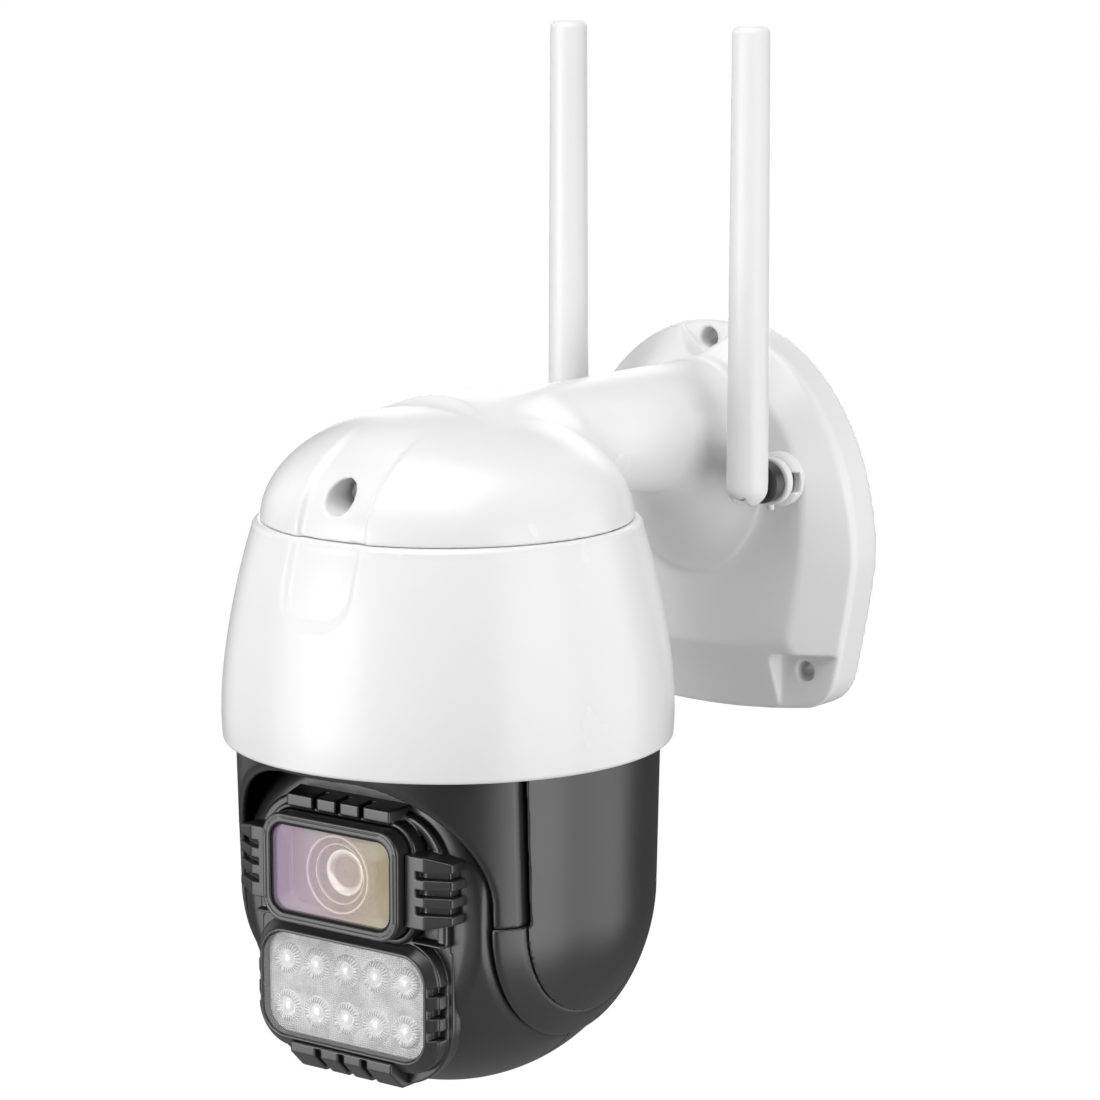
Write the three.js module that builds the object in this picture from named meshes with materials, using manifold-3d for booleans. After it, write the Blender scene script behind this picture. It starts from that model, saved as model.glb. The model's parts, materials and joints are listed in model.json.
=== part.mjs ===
// Pan-and-tilt security camera on a wall bracket, in millimetres, +Z up.
// The origin is the middle of the face that lies on the wall: the wall is the plane y = 0, the
// camera hangs on an arm towards -Y, and +X is to the right of someone who stands in front of the
// camera and looks into its lens. Each mesh is one physical piece.
import * as THREE from 'three';
import { mergeVertices } from 'three/addons/utils/BufferGeometryUtils.js';
import Module from 'manifold-3d';

const wasm = await Module();
wasm.setup();
const CRUMB = 0.01;            // mm3

// ---- Driving dimensions -------------------------------------------------------------------
const GAP = 0.3;               // clearance between pieces that touch or fit into each other
const WALL = 2.4;              // moulded wall of the white and the black shells

const REACH = 143.3;           // wall to the upright axis of the dome
const RIM_Z = -46.6;           // lower rim of the white skirt, from the plate's middle

const PLATE_HALF_W = 54.3;     // wall plate: widest half width
const PLATE_TOP = 60.4;
const PLATE_BOTTOM = -60.8;
const PLATE_WIDEST_Z = -10.6;  // level of the greatest width
const PLATE_FOOT_HALF_W = 46;  // half width at the lower corners
const PLATE_T = 12.5;          // thickness at the rim
const PANEL_T = 21.3;          // wall to the front of the raised panel
const PANEL_HALF_W = 41;
const PANEL_TOP = 49;
const PANEL_BOTTOM = -38.5;
const REAR_COVER_T = 2.2;
const FIXING_BORE_R = 3.2;     // three wall screws
const FIXING_TOP_Z = 54.9;
const FIXING_LOW_X = 36.9;
const FIXING_LOW_Z = -46.2;
const CABLE_BORE_R = 7;
const CABLE_BORE_Z = -20;
const GROMMET_BORE_R = 3.6;
const COVER_SCREW_HEAD_R = 3.2;
const THREAD_R = 1.4;          // of every small screw
const THREAD_BORE_R = THREAD_R + 0.1 + GAP;
const ARM_ROOT_R = 20;
const ARM_TIP_R = 16.5;
const ARM_ROOT_Y = -34;
const BOSS_HALF_W = 25;        // the arm's root flares to an upright oval on the plate
const BOSS_HALF_H = 33;
const BOSS_Z = 15.4;

const SEAM_UP = 63.2;          // rim to the seam between skirt and cap
const CAP_R = 53.3;
const CAP_H = 32.4;
const ARM_TOP_Z = RIM_Z + SEAM_UP + CAP_H;  // the arm's upper line runs level from the cap's top
const SKIRT_RIM_R = 64.5;
const SKIRT_MAX_R = 65;
const SKIRT_MAX_UP = 10.7;
const SKIRT_MID_R = 62.2;
const SKIRT_MID_UP = 36;
const SKIRT_TOP_R = 55;
const GROOVE_HALF_W = 10;      // shallow channel down the front, with the cap screw in it
const GROOVE_DEPTH = 1;
const GROOVE_FOOT_UP = 41;
const CAP_BORE_R = 4.7;
const CAP_BORE_UP = SEAM_UP + 11.5;
const CAP_BORE_FLOOR = 36;     // dome axis to the floor of the cap screw's recess

const CHASSIS_UP = 25.4;
const CHASSIS_T = 2.8;
const LEDGE_T = 6;
const CHASSIS_SCREW_R = 54.5;  // pitch circle of the chassis screws
const PAN_TEETH = 40;
const PAN_PINION_TEETH = 10;
const PAN_MODULE = 1.2;
const PAN_GEAR_UP = 20.3;
const PAN_GEAR_T = 3.6;
const PAN_HUB_R = 8;
const PAN_BEARING_R = 13;
const PAN_MOTOR_R = 14;
const PAN_MOTOR_H = 18;
const TURNTABLE_UP = 18;
const TURNTABLE_T = 2;
const BOARD_UP = 50;
const BOARD_R = 43;
const BOARD_T = 1.6;

const TILT_DROP = 42.35;       // rim down to the tilt axis
const YOKE_R = 60.1;           // black head: sphere below the tilt axis, drum above it
const DRUM_TOP_R = 61;
const COVER_X = 51.4;          // joint between yoke and side cover
const COVER_TOP = 50;
const CHEEK_X = 44.6;          // inner face of each cheek
const CHEEK_T = 2.2;
const ARCH_HALF_W = 45.2;      // opening that shows the ball
const ARCH_TOP = 39.75;
const ARCH_CORNER_R = 34;
const BALL_R = 58.8;
const BALL_HALF_W = 44;
const BALL_WALL = 2;
const BALL_FLAT_Y = 42;        // tilt axis to the flat on the ball's front
const TILT_SHAFT_R = 4;
const TILT_BEARING_R = TILT_SHAFT_R + 2.2;
const TILT_TEETH = 30;
const TILT_PINION_TEETH = 10;
const TILT_MODULE = 0.8;
const TILT_GEAR_X = 53.6;
const TILT_GEAR_T = 2.2;
const TILT_REACH = (TILT_TEETH + TILT_PINION_TEETH) * TILT_MODULE / 2;
const TILT_MOTOR_R = TILT_REACH - TILT_BEARING_R - 0.4;  // the motor sits close over the bearing

const FACE_Y = 46.2;           // tilt axis to the face plate's front
const FACE_HALF_W = 33;
const FACE_TOP = 30.35;
const FACE_BOTTOM = -48.65;
const CAMERA_Z = 11;           // middle of the camera bezel above the tilt axis
const CAMERA_W = 49;
const CAMERA_H = 31.5;
const CAMERA_FRONT_Y = 54;
const CAMERA_FRAME_W = 3.7;
const CHAMBER_FLOOR_Y = 44.8;
const CHAMBER_WALL = 1;
const LENS_Z = 10.8;
const LENS_R = 11.2;
const LENS_BACK_R = 9;
const LENS_FRONT_Y = 50.6;
const GLASS_T = 1.4;
const EAR_X = 26.2;
const EAR_SHOULDER_X = 31.2;
const EAR_TIP_X = 38.5;
const EAR_FRONT_Y = 51;
const EAR_TIP_Y = 47.3;
const EAR_TOP = 20.65;
const EAR_BOTTOM = 0.05;
const EAR_SLOT_PITCH = 5;
const EAR_SLOT_HALF = 1.1;
const EAR_SLOT_X = 28.5;       // start of each slot in an ear's front
const EAR_NOTCH_X = 36.4;      // start of each notch in its tip
const FIN_HALF_W = 18;
const FIN_FRONT_Y = 50;
const FIN_PITCH = 8.4;
const FIN_SLOT = 1.6;
const LED_Z = -24.75;
const LED_W = 56.4;            // opening of the lamp frame
const LED_H = 28;
const LED_CORNER_R = 7;
const LED_FRAME_W = 4.8;
const LED_FRONT_Y = 49;
const LED_GLASS_Y = 47.1;
const LED_PITCH_X = 10.73;
const LED_PITCH_Z = 14.08;
const LED_R = 4.75;
const LED_NOTCH_PITCH = 6.3;
const LED_NOTCH_HALF = 1.3;
const LED_NOTCH_X = 30.6;
const SINK_HALF_W = 22;
const SINK_SLOTS = [-11.4, -2.9, 5.6, 16.5];

const ANTENNA_X = 33.5;
const ANTENNA_Z = 15.1;        // swivel axis
const ANTENNA_Y = -40.4;       // upright axis of the rod
const ANTENNA_TOP = 152.4;
const ANTENNA_FOOT_R = 6.35;
const ANTENNA_TIP_R = 5.65;
const BARREL_R = 6.3;
const FLANGE_R = 7.4;
const COLLAR_R = 8.5;
const TONGUE_HALF_W = 2.3;
const TONGUE_R = 4.6;
const HINGE_PIN_R = 1.2;

const ROUND = 32;              // sides of a large round
const SMALL_ROUND = 16;        // sides of a small round
const TINY_ROUND = 8;          // sides of a screw or a pin

// ---- Materials ----------------------------------------------------------------------------
const paint = (color, roughness, metalness = 0) => () => (
  new THREE.MeshStandardMaterial({ color, roughness, metalness })
);
const whitePlastic = paint(0xf3f3f1, 0.3);
const blackPlastic = paint(0x2b2c2e, 0.45);
const greyPlastic = paint(0x6f7173, 0.6);
const darkRubber = paint(0x1a1a1b, 0.85);
const steel = paint(0xb9bcc0, 0.35, 0.9);
const aluminium = paint(0xa9acb0, 0.45, 0.8);
const greenBoard = paint(0x1f5a37, 0.5);
const nylon = paint(0xe6e2d6, 0.55);
const tintedGlass = paint(0x8d7a92, 0.1);
const clearGlass = paint(0xd6dcdf, 0.1);
const silverTray = paint(0xd9dadb, 0.25, 0.6);

// ---- From three.js geometry to solids and back --------------------------------------------
function solid(geometry) {
  const bare = geometry.clone();
  bare.deleteAttribute('normal');
  bare.deleteAttribute('uv');
  const welded = mergeVertices(bare, 1e-4);
  const vertices = welded.attributes.position;
  const corners = welded.index.array;
  const triangles = [];
  let volume = 0;
  const [a, b, c] = [new THREE.Vector3(), new THREE.Vector3(), new THREE.Vector3()];
  for (let i = 0; i < corners.length; i += 3) {
    const [p, q, r] = corners.slice(i, i + 3);
    if (p === q || q === r || r === p) continue;
    triangles.push(p, q, r);
    a.fromBufferAttribute(vertices, p);
    b.fromBufferAttribute(vertices, q);
    c.fromBufferAttribute(vertices, r);
    volume += a.dot(b.cross(c));
  }
  if (volume < 0) triangles.reverse();
  return new wasm.Manifold(new wasm.Mesh({
    numProp: 3,
    vertProperties: vertices.array,
    triVerts: new Uint32Array(triangles),
  }));
}

// Makes a named mesh of a solid, without the crumbs that a cut along a shared face can leave.
function piece(name, body, material, parent) {
  const bodies = body.decompose().filter((part) => part.volume() > CRUMB);
  const mesh = wasm.Manifold.compose(bodies).getMesh();
  const geometry = new THREE.BufferGeometry();
  geometry.setAttribute('position', new THREE.BufferAttribute(mesh.vertProperties, 3));
  geometry.setIndex(new THREE.BufferAttribute(mesh.triVerts, 1));
  geometry.computeVertexNormals();
  const part = new THREE.Mesh(geometry, material());
  part.name = name;
  parent.add(part);
  return part;
}

const join = (...solids) => solids.reduce((whole, next) => whole.add(next));
const cut = (whole, ...tools) => tools.reduce((left, tool) => left.subtract(tool), whole);

// A box from its lowest to its highest corner.
function box(x0, x1, y0, y1, z0, z1) {
  const geometry = new THREE.BoxGeometry(x1 - x0, y1 - y0, z1 - z0);
  geometry.translate((x0 + x1) / 2, (y0 + y1) / 2, (z0 + z1) / 2);
  return solid(geometry);
}

// A turned solid: the outline is [radius, height] points, and the axis is Z.
function turned(outline, sides = ROUND) {
  const points = outline.map(([radius, height]) => new THREE.Vector2(radius, height));
  return solid(new THREE.LatheGeometry(points, sides).rotateX(Math.PI / 2));
}

// A closed ring or tube about Z.
function ring(inner, outer, z0, z1, sides = ROUND) {
  return turned([[inner, z0], [outer, z0], [outer, z1], [inner, z1], [inner, z0]], sides);
}

function rod(radius, z0, z1, sides = SMALL_ROUND) {
  return turned([[0, z0], [radius, z0], [radius, z1], [0, z1]], sides);
}

// Turns something built about Z so that its axis lies along X, or runs from the wall to the front.
const alongX = (body) => body.rotate([0, 90, 0]);
const alongFront = (body) => body.rotate([90, 0, 0]);
const mirrorX = (body, side) => (side > 0 ? body : body.mirror([1, 0, 0]));

// A slab whose outline lies in the upright X-Z plane, between two distances towards the front.
function slab(outline, front0, front1, curveSegments = 2) {
  const options = { depth: front1 - front0, bevelEnabled: false, curveSegments };
  const geometry = new THREE.ExtrudeGeometry(outline, options);
  geometry.rotateX(Math.PI / 2);
  geometry.translate(0, -front0, 0);
  return solid(geometry);
}

// A rounded rectangle about a middle at (0, z), in the X-Z plane.
function roundedRectangle(width, height, radius, z = 0) {
  const [x, y, quarter] = [width / 2 - radius, height / 2 - radius, Math.PI / 2];
  const outline = new THREE.Shape();
  outline.absarc(x, z + y, radius, 0, quarter);
  outline.absarc(-x, z + y, radius, quarter, 2 * quarter);
  outline.absarc(-x, z - y, radius, 2 * quarter, 3 * quarter);
  outline.absarc(x, z - y, radius, 3 * quarter, 4 * quarter);
  outline.closePath();
  return outline;
}

// An upright outline with a flat foot and a rounded top.
function archOutline(halfWidth, foot, top, cornerRadius, footRadius = 0) {
  const outline = new THREE.Shape();
  outline.moveTo(halfWidth, foot + footRadius);
  outline.absarc(halfWidth - cornerRadius, top - cornerRadius, cornerRadius, 0, Math.PI / 2);
  outline.absarc(cornerRadius - halfWidth, top - cornerRadius, cornerRadius, Math.PI / 2, Math.PI);
  if (footRadius > 0) {
    const [x, z] = [halfWidth - footRadius, foot + footRadius];
    outline.absarc(-x, z, footRadius, Math.PI, 1.5 * Math.PI);
    outline.absarc(x, z, footRadius, 1.5 * Math.PI, 2 * Math.PI);
  } else {
    outline.lineTo(-halfWidth, foot);
    outline.lineTo(halfWidth, foot);
  }
  outline.closePath();
  return outline;
}

// A small screw along Z: its head is above z = 0 and its thread below.
function screw(headRadius, headHeight, shankRadius, length) {
  return turned([
    [0, -length], [shankRadius, -length], [shankRadius, 0],
    [headRadius, 0], [headRadius, headHeight], [0, headHeight],
  ], TINY_ROUND);
}

// ---- Gears --------------------------------------------------------------------------------
const PRESSURE_ANGLE = THREE.MathUtils.degToRad(20);
const STUB = 0.6;              // short teeth, which a small pinion clears
const ROOT_DEPTH = 0.9;
const BACKLASH = 0.24;
const pitchRadius = (teeth, module) => teeth * module / 2;
const involute = (angle) => Math.tan(angle) - angle;

// A gear about Z with involute flanks; the first tooth points to +X before the turn.
function gear(teeth, module, bore, z0, z1, turn = 0) {
  const pitch = pitchRadius(teeth, module);
  const base = pitch * Math.cos(PRESSURE_ANGLE);
  const root = pitch - ROOT_DEPTH * module;
  const tip = pitch + STUB * module;
  const halfTooth = Math.PI / (2 * teeth) - BACKLASH / (2 * pitch);
  const flank = [];
  const foot = Math.max(base, root);
  for (const share of [0, 1]) {
    const radius = foot + (tip - foot) * share;
    const slope = Math.acos(Math.min(1, base / radius));
    flank.push([radius, halfTooth + involute(PRESSURE_ANGLE) - involute(slope)]);
  }
  const outline = new THREE.Shape();
  const points = [];
  for (let tooth = 0; tooth < teeth; tooth += 1) {
    const middle = turn + tooth * 2 * Math.PI / teeth;
    if (foot > root + GAP / 10) points.push([root, middle - flank[0][1]]);
    for (const [radius, angle] of flank) points.push([radius, middle - angle]);
    for (const [radius, angle] of [...flank].reverse()) points.push([radius, middle + angle]);
    if (foot > root + GAP / 10) points.push([root, middle + flank[0][1]]);
  }
  outline.setFromPoints(points.map(([r, a]) => new THREE.Vector2(r * Math.cos(a), r * Math.sin(a))));
  const hole = new THREE.Path();
  hole.absarc(0, 0, bore, 0, 2 * Math.PI, true);
  outline.holes.push(hole);
  const options = { depth: z1 - z0, bevelEnabled: false, curveSegments: SMALL_ROUND / 2 };
  return solid(new THREE.ExtrudeGeometry(outline, options).translate(0, 0, z0));
}

// ---- The groups: bracket at the wall, dome at the skirt's rim, head at the tilt axis ------
const camera = new THREE.Group();
const dome = new THREE.Group();
dome.position.set(0, -REACH, RIM_Z);
camera.add(dome);
const head = new THREE.Group();
head.position.set(0, 0, -TILT_DROP);
dome.add(head);

// ---- Wall bracket -------------------------------------------------------------------------
// The plate's outline: half an oval over its widest level, sides that draw in, a shallow foot.
function plateOutline(inset = 0) {
  const width = PLATE_HALF_W - inset;
  const foot = PLATE_FOOT_HALF_W - inset;
  const bottom = PLATE_BOTTOM + inset;
  const corner = 8;
  const outline = new THREE.Shape();
  outline.absellipse(0, PLATE_WIDEST_Z, width, PLATE_TOP - inset - PLATE_WIDEST_Z, 0, Math.PI);
  outline.bezierCurveTo(
    -width, PLATE_WIDEST_Z - 20, -foot - 2, bottom + corner + 10, -foot, bottom + corner);
  outline.quadraticCurveTo(-foot, bottom + 1, corner - foot, bottom + 1);
  outline.quadraticCurveTo(0, bottom - 1, foot - corner, bottom + 1);
  outline.quadraticCurveTo(foot, bottom + 1, foot, bottom + corner);
  outline.bezierCurveTo(
    foot + 2, bottom + corner + 10, width, PLATE_WIDEST_Z - 20, width, PLATE_WIDEST_Z);
  return outline;
}

const fixings = [[0, FIXING_TOP_Z], [-FIXING_LOW_X, FIXING_LOW_Z], [FIXING_LOW_X, FIXING_LOW_Z]];
const coverScrews = [[-40, 22], [40, 22], [-24, -50], [24, -50]];
const at = (body, x, z) => body.translate([x, 0, z]);
const frontRod = (radius, front0, front1, sides) => alongFront(rod(radius, front0, front1, sides));

function armBody(inset) {
  const rootZ = ARM_TOP_Z - ARM_ROOT_R;
  const tipZ = ARM_TOP_Z - ARM_TIP_R;
  const length = REACH + ARM_ROOT_Y;
  const lean = THREE.MathUtils.radToDeg(Math.atan2(tipZ - rootZ, length));
  const shaft = turned([
    [0, 0], [ARM_ROOT_R - inset, 0], [ARM_TIP_R - inset, length], [0, length],
  ], 24);
  return alongFront(shaft).rotate([-lean, 0, 0]).translate([0, ARM_ROOT_Y, rootZ]);
}

// The oval root, which narrows from the plate into the arm.
function armRoot(inset) {
  const steps = 4;
  const reach = -ARM_ROOT_Y - PANEL_T + 8;
  const outline = [[0, 0]];
  for (let i = 0; i <= steps; i += 1) {
    const share = i / steps;
    const fade = (1 - share) ** 2;
    outline.push([ARM_ROOT_R - inset + (BOSS_HALF_H - ARM_ROOT_R) * fade, share * reach]);
  }
  outline.push([0, reach]);
  const flare = turned(outline, 24).scale([BOSS_HALF_W / BOSS_HALF_H, 1, 1]);
  const straight = alongFront(flare).translate([0, -PANEL_T + 0.6, 0]);
  const drop = (ARM_TOP_Z - ARM_ROOT_R - BOSS_Z) / reach;
  const sheared = straight.transform([1, 0, 0, 0, 0, 1, -drop, 0, 0, 0, 1, 0, 0, 0, 0, 1]);
  return sheared.translate([0, 0, BOSS_Z - drop * PANEL_T]);
}

function capBody(inset) {
  const steps = 6;
  const outline = [[0, -2], [CAP_R - inset, -2]];
  for (let i = 0; i <= steps; i += 1) {
    const angle = i / steps * Math.PI / 2;
    outline.push([(CAP_R - inset) * Math.cos(angle), (CAP_H - inset) * Math.sin(angle)]);
  }
  outline[outline.length - 1][0] = 0;
  return turned(outline).translate([0, -REACH, RIM_Z + SEAM_UP]);
}

// The channel down the front, as a solid to take away: a box that stops GROOVE_DEPTH outside
// the inner face, so that its floor follows the shell.
function frontChannel(floor) {
  const outline = archOutline(GROOVE_HALF_W, GROOVE_FOOT_UP, SEAM_UP + CAP_H - 5, 2, GROOVE_HALF_W - 1);
  return cut(slab(outline, 20, SKIRT_MAX_R + 5), floor);
}

const capFloor = turned([
  [0, SEAM_UP - 1], [CAP_R - GROOVE_DEPTH, SEAM_UP - 1], [CAP_R - GROOVE_DEPTH, SEAM_UP],
  ...[1, 2, 3, 4, 5].map((i) => [
    (CAP_R - GROOVE_DEPTH) * Math.cos(i * Math.PI / 12),
    SEAM_UP + (CAP_H - GROOVE_DEPTH) * Math.sin(i * Math.PI / 12),
  ]),
  [0, SEAM_UP + CAP_H - GROOVE_DEPTH],
]);
const capChannel = frontChannel(capFloor).translate([0, -REACH, RIM_Z]);
const atCapScrew = (body) => body.translate([0, -REACH, RIM_Z + CAP_BORE_UP]);
const capBore = atCapScrew(frontRod(CAP_BORE_R, CAP_BORE_FLOOR, CAP_R + 5));
const capBoss = atCapScrew(cut(frontRod(CAP_BORE_R + 1.6, CAP_BORE_FLOOR - 3, CAP_R),
  frontRod(THREAD_BORE_R, 0, CAP_R, TINY_ROUND))).intersect(capBody(1));

let bracketShell = join(
  slab(plateOutline(), 0, PLATE_T, 6),
  slab(archOutline(PANEL_HALF_W, PANEL_BOTTOM, PANEL_TOP, 34, 12), PLATE_T - 1, PANEL_T),
  armRoot(0), armBody(0), capBody(0));
const belowCap = box(-70, 70, -REACH - 70, -REACH + 70, -60, RIM_Z + SEAM_UP);
bracketShell = cut(bracketShell,
  belowCap,
  slab(plateOutline(WALL), -1, PLATE_T - WALL, 6),
  slab(archOutline(PANEL_HALF_W - WALL, PANEL_BOTTOM + WALL, PANEL_TOP - WALL, 32, 10),
    PLATE_T - WALL - 1, PANEL_T - WALL),
  armRoot(WALL + 1), armBody(WALL), capBody(WALL), capChannel);
const tube = (radius, front) => frontRod(radius, REAR_COVER_T + GAP, front, TINY_ROUND);
for (const [x, z] of fixings) {
  const sleeve = at(tube(FIXING_BORE_R + WALL, PLATE_T), x, z)
    .intersect(slab(plateOutline(), 0, PLATE_T, 6));
  bracketShell = cut(bracketShell, at(frontRod(FIXING_BORE_R + 4.4, PLATE_T, 40), x, z));
  bracketShell = join(bracketShell, sleeve);
  bracketShell = cut(bracketShell, at(frontRod(FIXING_BORE_R, -1, 40), x, z));
}
for (const [x, z] of coverScrews) {
  bracketShell = join(bracketShell, at(tube(THREAD_BORE_R + 1.6, PLATE_T - 1), x, z));
  bracketShell = cut(bracketShell, at(frontRod(THREAD_BORE_R, 0, PLATE_T - 3.5, TINY_ROUND), x, z));
}
const spigotBore = frontRod(COLLAR_R - 3.5, PANEL_T - WALL - 1, PANEL_T + 1);
for (const side of [-1, 1]) {
  bracketShell = cut(bracketShell, at(spigotBore, side * ANTENNA_X, ANTENNA_Z));
}
bracketShell = cut(join(bracketShell, capBoss), capBore);
piece('bracket_shell', bracketShell, whitePlastic, camera);

let rearCover = cut(slab(plateOutline(WALL + GAP), 0, REAR_COVER_T, 6),
  at(frontRod(CABLE_BORE_R, -1, 5), 0, CABLE_BORE_Z));
for (const [x, z] of fixings) rearCover = cut(rearCover, at(frontRod(FIXING_BORE_R, -1, 5), x, z));
for (const [x, z] of coverScrews) {
  rearCover = cut(rearCover, at(frontRod(THREAD_BORE_R, -1, 5, TINY_ROUND), x, z),
    at(frontRod(COVER_SCREW_HEAD_R + GAP, -1, 1.3, TINY_ROUND), x, z));
}
piece('rear_cover', rearCover, greyPlastic, camera);
coverScrews.forEach(([x, z], index) => {
  const body = screw(COVER_SCREW_HEAD_R, 0.9, THREAD_R, 7.5).rotate([-90, 0, 0]).translate([x, -1.1, z]);
  piece(`rear_cover_screw_${index + 1}`, body, steel, camera);
});
const grommet = turned([
  [GROMMET_BORE_R, 0.2], [CABLE_BORE_R - GAP, 0.2], [CABLE_BORE_R - GAP, REAR_COVER_T + GAP],
  [CABLE_BORE_R + 2, REAR_COVER_T + GAP], [CABLE_BORE_R + 2, REAR_COVER_T + 2],
  [GROMMET_BORE_R, REAR_COVER_T + 2], [GROMMET_BORE_R, 0.2],
], SMALL_ROUND);
piece('cable_grommet', at(alongFront(grommet), 0, CABLE_BORE_Z), darkRubber, camera);

const wifiBoard = join(
  slab(roundedRectangle(58, 22, 2, -2), 5, 5 + BOARD_T),
  box(-7, 7, -8, -5 - BOARD_T + 0.1, -8, 4), box(12, 20, -8.4, -5 - BOARD_T + 0.1, -4, 2));
piece('wifi_board', wifiBoard, greenBoard, camera);

// ---- Dome: skirt, seam, chassis and pan drive ---------------------------------------------
const skirtCurve = new THREE.SplineCurve([
  new THREE.Vector2(SKIRT_RIM_R, 0), new THREE.Vector2(SKIRT_MAX_R, SKIRT_MAX_UP),
  new THREE.Vector2(SKIRT_MID_R, SKIRT_MID_UP), new THREE.Vector2(SKIRT_TOP_R, SEAM_UP - 0.2),
]).getPoints(7).map((p) => [p.x, p.y]);
const inside = skirtCurve.map(([radius, up]) => [radius - WALL, up]).reverse();
const skirtTop = [[SKIRT_TOP_R - WALL - 1.5, SEAM_UP - 0.2]];
let skirt = turned([...skirtCurve, ...skirtTop, ...inside.slice(1), skirtCurve[0]]);
const skirtRadius = (up) => {
  const above = skirtCurve.findIndex((point) => point[1] >= up);
  const [[r0, u0], [r1, u1]] = [skirtCurve[above - 1], skirtCurve[above]];
  return r0 + (r1 - r0) * (up - u0) / (u1 - u0);
};
const ledgeUp = CHASSIS_UP + CHASSIS_T + GAP;
const ledge = ring(CHASSIS_SCREW_R - 3.5, skirtRadius(ledgeUp + LEDGE_T) - 1, ledgeUp, ledgeUp + LEDGE_T);
const skirtFloor = turned([
  [0, 0], ...skirtCurve.map(([radius, up]) => [radius - GROOVE_DEPTH, up]), [0, SEAM_UP + 40],
]);
skirt = cut(join(skirt, ledge), frontChannel(skirtFloor));
const chassisScrewAngles = [30, 150, 270];
const aroundZ = (body, radius, degrees) => body.translate([radius, 0, 0]).rotate([0, 0, degrees]);
for (const degrees of chassisScrewAngles) {
  const bore = rod(THREAD_BORE_R, ledgeUp - 1, ledgeUp + LEDGE_T - 1, TINY_ROUND);
  skirt = cut(skirt, aroundZ(bore, CHASSIS_SCREW_R, degrees));
}
piece('skirt_shell', skirt, whitePlastic, dome);
piece('seam_gasket', ring(CAP_R - WALL + 0.4, CAP_R - 0.6, SEAM_UP - 0.2 + 0.03, SEAM_UP - 0.03),
  darkRubber, dome);

const pinionReach = pitchRadius(PAN_TEETH, PAN_MODULE) + pitchRadius(PAN_PINION_TEETH, PAN_MODULE);
const onPinion = (body) => body.translate([0, pinionReach, 0]);
let chassis = rod(skirtRadius(CHASSIS_UP) - WALL - 2 * GAP, CHASSIS_UP, CHASSIS_UP + CHASSIS_T, ROUND);
chassis = cut(chassis, rod(PAN_BEARING_R + GAP, CHASSIS_UP - 1, CHASSIS_UP + 5),
  onPinion(rod(3, CHASSIS_UP - 1, CHASSIS_UP + 5)));
for (const degrees of chassisScrewAngles) {
  chassis = cut(chassis, aroundZ(rod(THREAD_BORE_R, CHASSIS_UP - 1, CHASSIS_UP + 5, TINY_ROUND),
    CHASSIS_SCREW_R, degrees));
}
piece('chassis_plate', chassis, greyPlastic, dome);
chassisScrewAngles.forEach((degrees, index) => {
  const body = screw(3, 1.6, THREAD_R, 7).rotate([180, 0, 0]).translate([0, 0, CHASSIS_UP - GAP]);
  piece(`chassis_screw_${index + 1}`, aroundZ(body, CHASSIS_SCREW_R, degrees), steel, dome);
});
const motorUp = CHASSIS_UP + CHASSIS_T + GAP;
piece('pan_motor', onPinion(join(rod(PAN_MOTOR_R, motorUp, motorUp + PAN_MOTOR_H, 24),
  rod(1.5, PAN_GEAR_UP + 0.4, motorUp + 1, TINY_ROUND))), steel, dome);
piece('pan_bearing', ring(PAN_HUB_R + GAP, PAN_BEARING_R, CHASSIS_UP, CHASSIS_UP + 5, 24), steel, dome);
const mainBoard = join(rod(BOARD_R, BOARD_UP, BOARD_UP + BOARD_T, 32),
  box(-9, 9, -12, 6, BOARD_UP + 1, BOARD_UP + 3.4), box(14, 28, -6, 4, BOARD_UP + 1, BOARD_UP + 4.5),
  box(-30, -18, -14, 2, BOARD_UP + 1, BOARD_UP + 3));
piece('main_board', mainBoard, greenBoard, dome);
const capScrew = screw(3.4, 2, THREAD_R, 8).rotate([90, 0, 0]);
piece('cap_screw', capScrew.translate([0, -CAP_BORE_FLOOR - GAP, CAP_BORE_UP]), steel, dome);

// ---- Turning head: turntable, gear, yoke, side covers -------------------------------------
const hubTop = CHASSIS_UP + 5 + GAP + 2;
const turntableR = DRUM_TOP_R - 0.4;
const turntable = cut(join(
  rod(turntableR, TURNTABLE_UP, TURNTABLE_UP + TURNTABLE_T, ROUND),
  rod(PAN_HUB_R, TURNTABLE_UP + 1, hubTop)), rod(5, TURNTABLE_UP - 1, hubTop + 1));
piece('turntable', turntable, greyPlastic, dome);
piece('pan_gear', gear(PAN_TEETH, PAN_MODULE, PAN_HUB_R + GAP, PAN_GEAR_UP, PAN_GEAR_UP + PAN_GEAR_T,
  Math.PI / 2), nylon, dome);
const panPinion = gear(PAN_PINION_TEETH, PAN_MODULE, 1.5 + GAP, PAN_GEAR_UP, PAN_GEAR_UP + PAN_GEAR_T,
  -Math.PI / 2 + Math.PI / PAN_PINION_TEETH);
piece('pan_pinion', onPinion(panPinion), nylon, dome);

// The black head's outer form: a sphere below the tilt axis and a drum above it.
const headTop = TURNTABLE_UP + TILT_DROP - GAP;
function headBody(inset, top) {
  const steps = 10;
  const outline = [[0, -YOKE_R + inset]];
  for (let i = 1; i < steps; i += 1) {
    const angle = i / steps * Math.PI / 2;
    outline.push([(YOKE_R - inset) * Math.sin(angle), -(YOKE_R - inset) * Math.cos(angle)]);
  }
  outline.push([YOKE_R - inset, 0], [DRUM_TOP_R - inset, top], [0, top]);
  return turned(outline);
}
const archTunnel = slab(archOutline(ARCH_HALF_W, -2, ARCH_TOP, ARCH_CORNER_R), -80, 80, 8);
const aboveTilt = box(-80, 80, -80, 80, GAP / 2, 80);
const belowTilt = box(-80, 80, -80, 80, -80, -GAP / 2);
const bearingBore = alongX(rod(TILT_BEARING_R + GAP, -80, 80));
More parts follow.
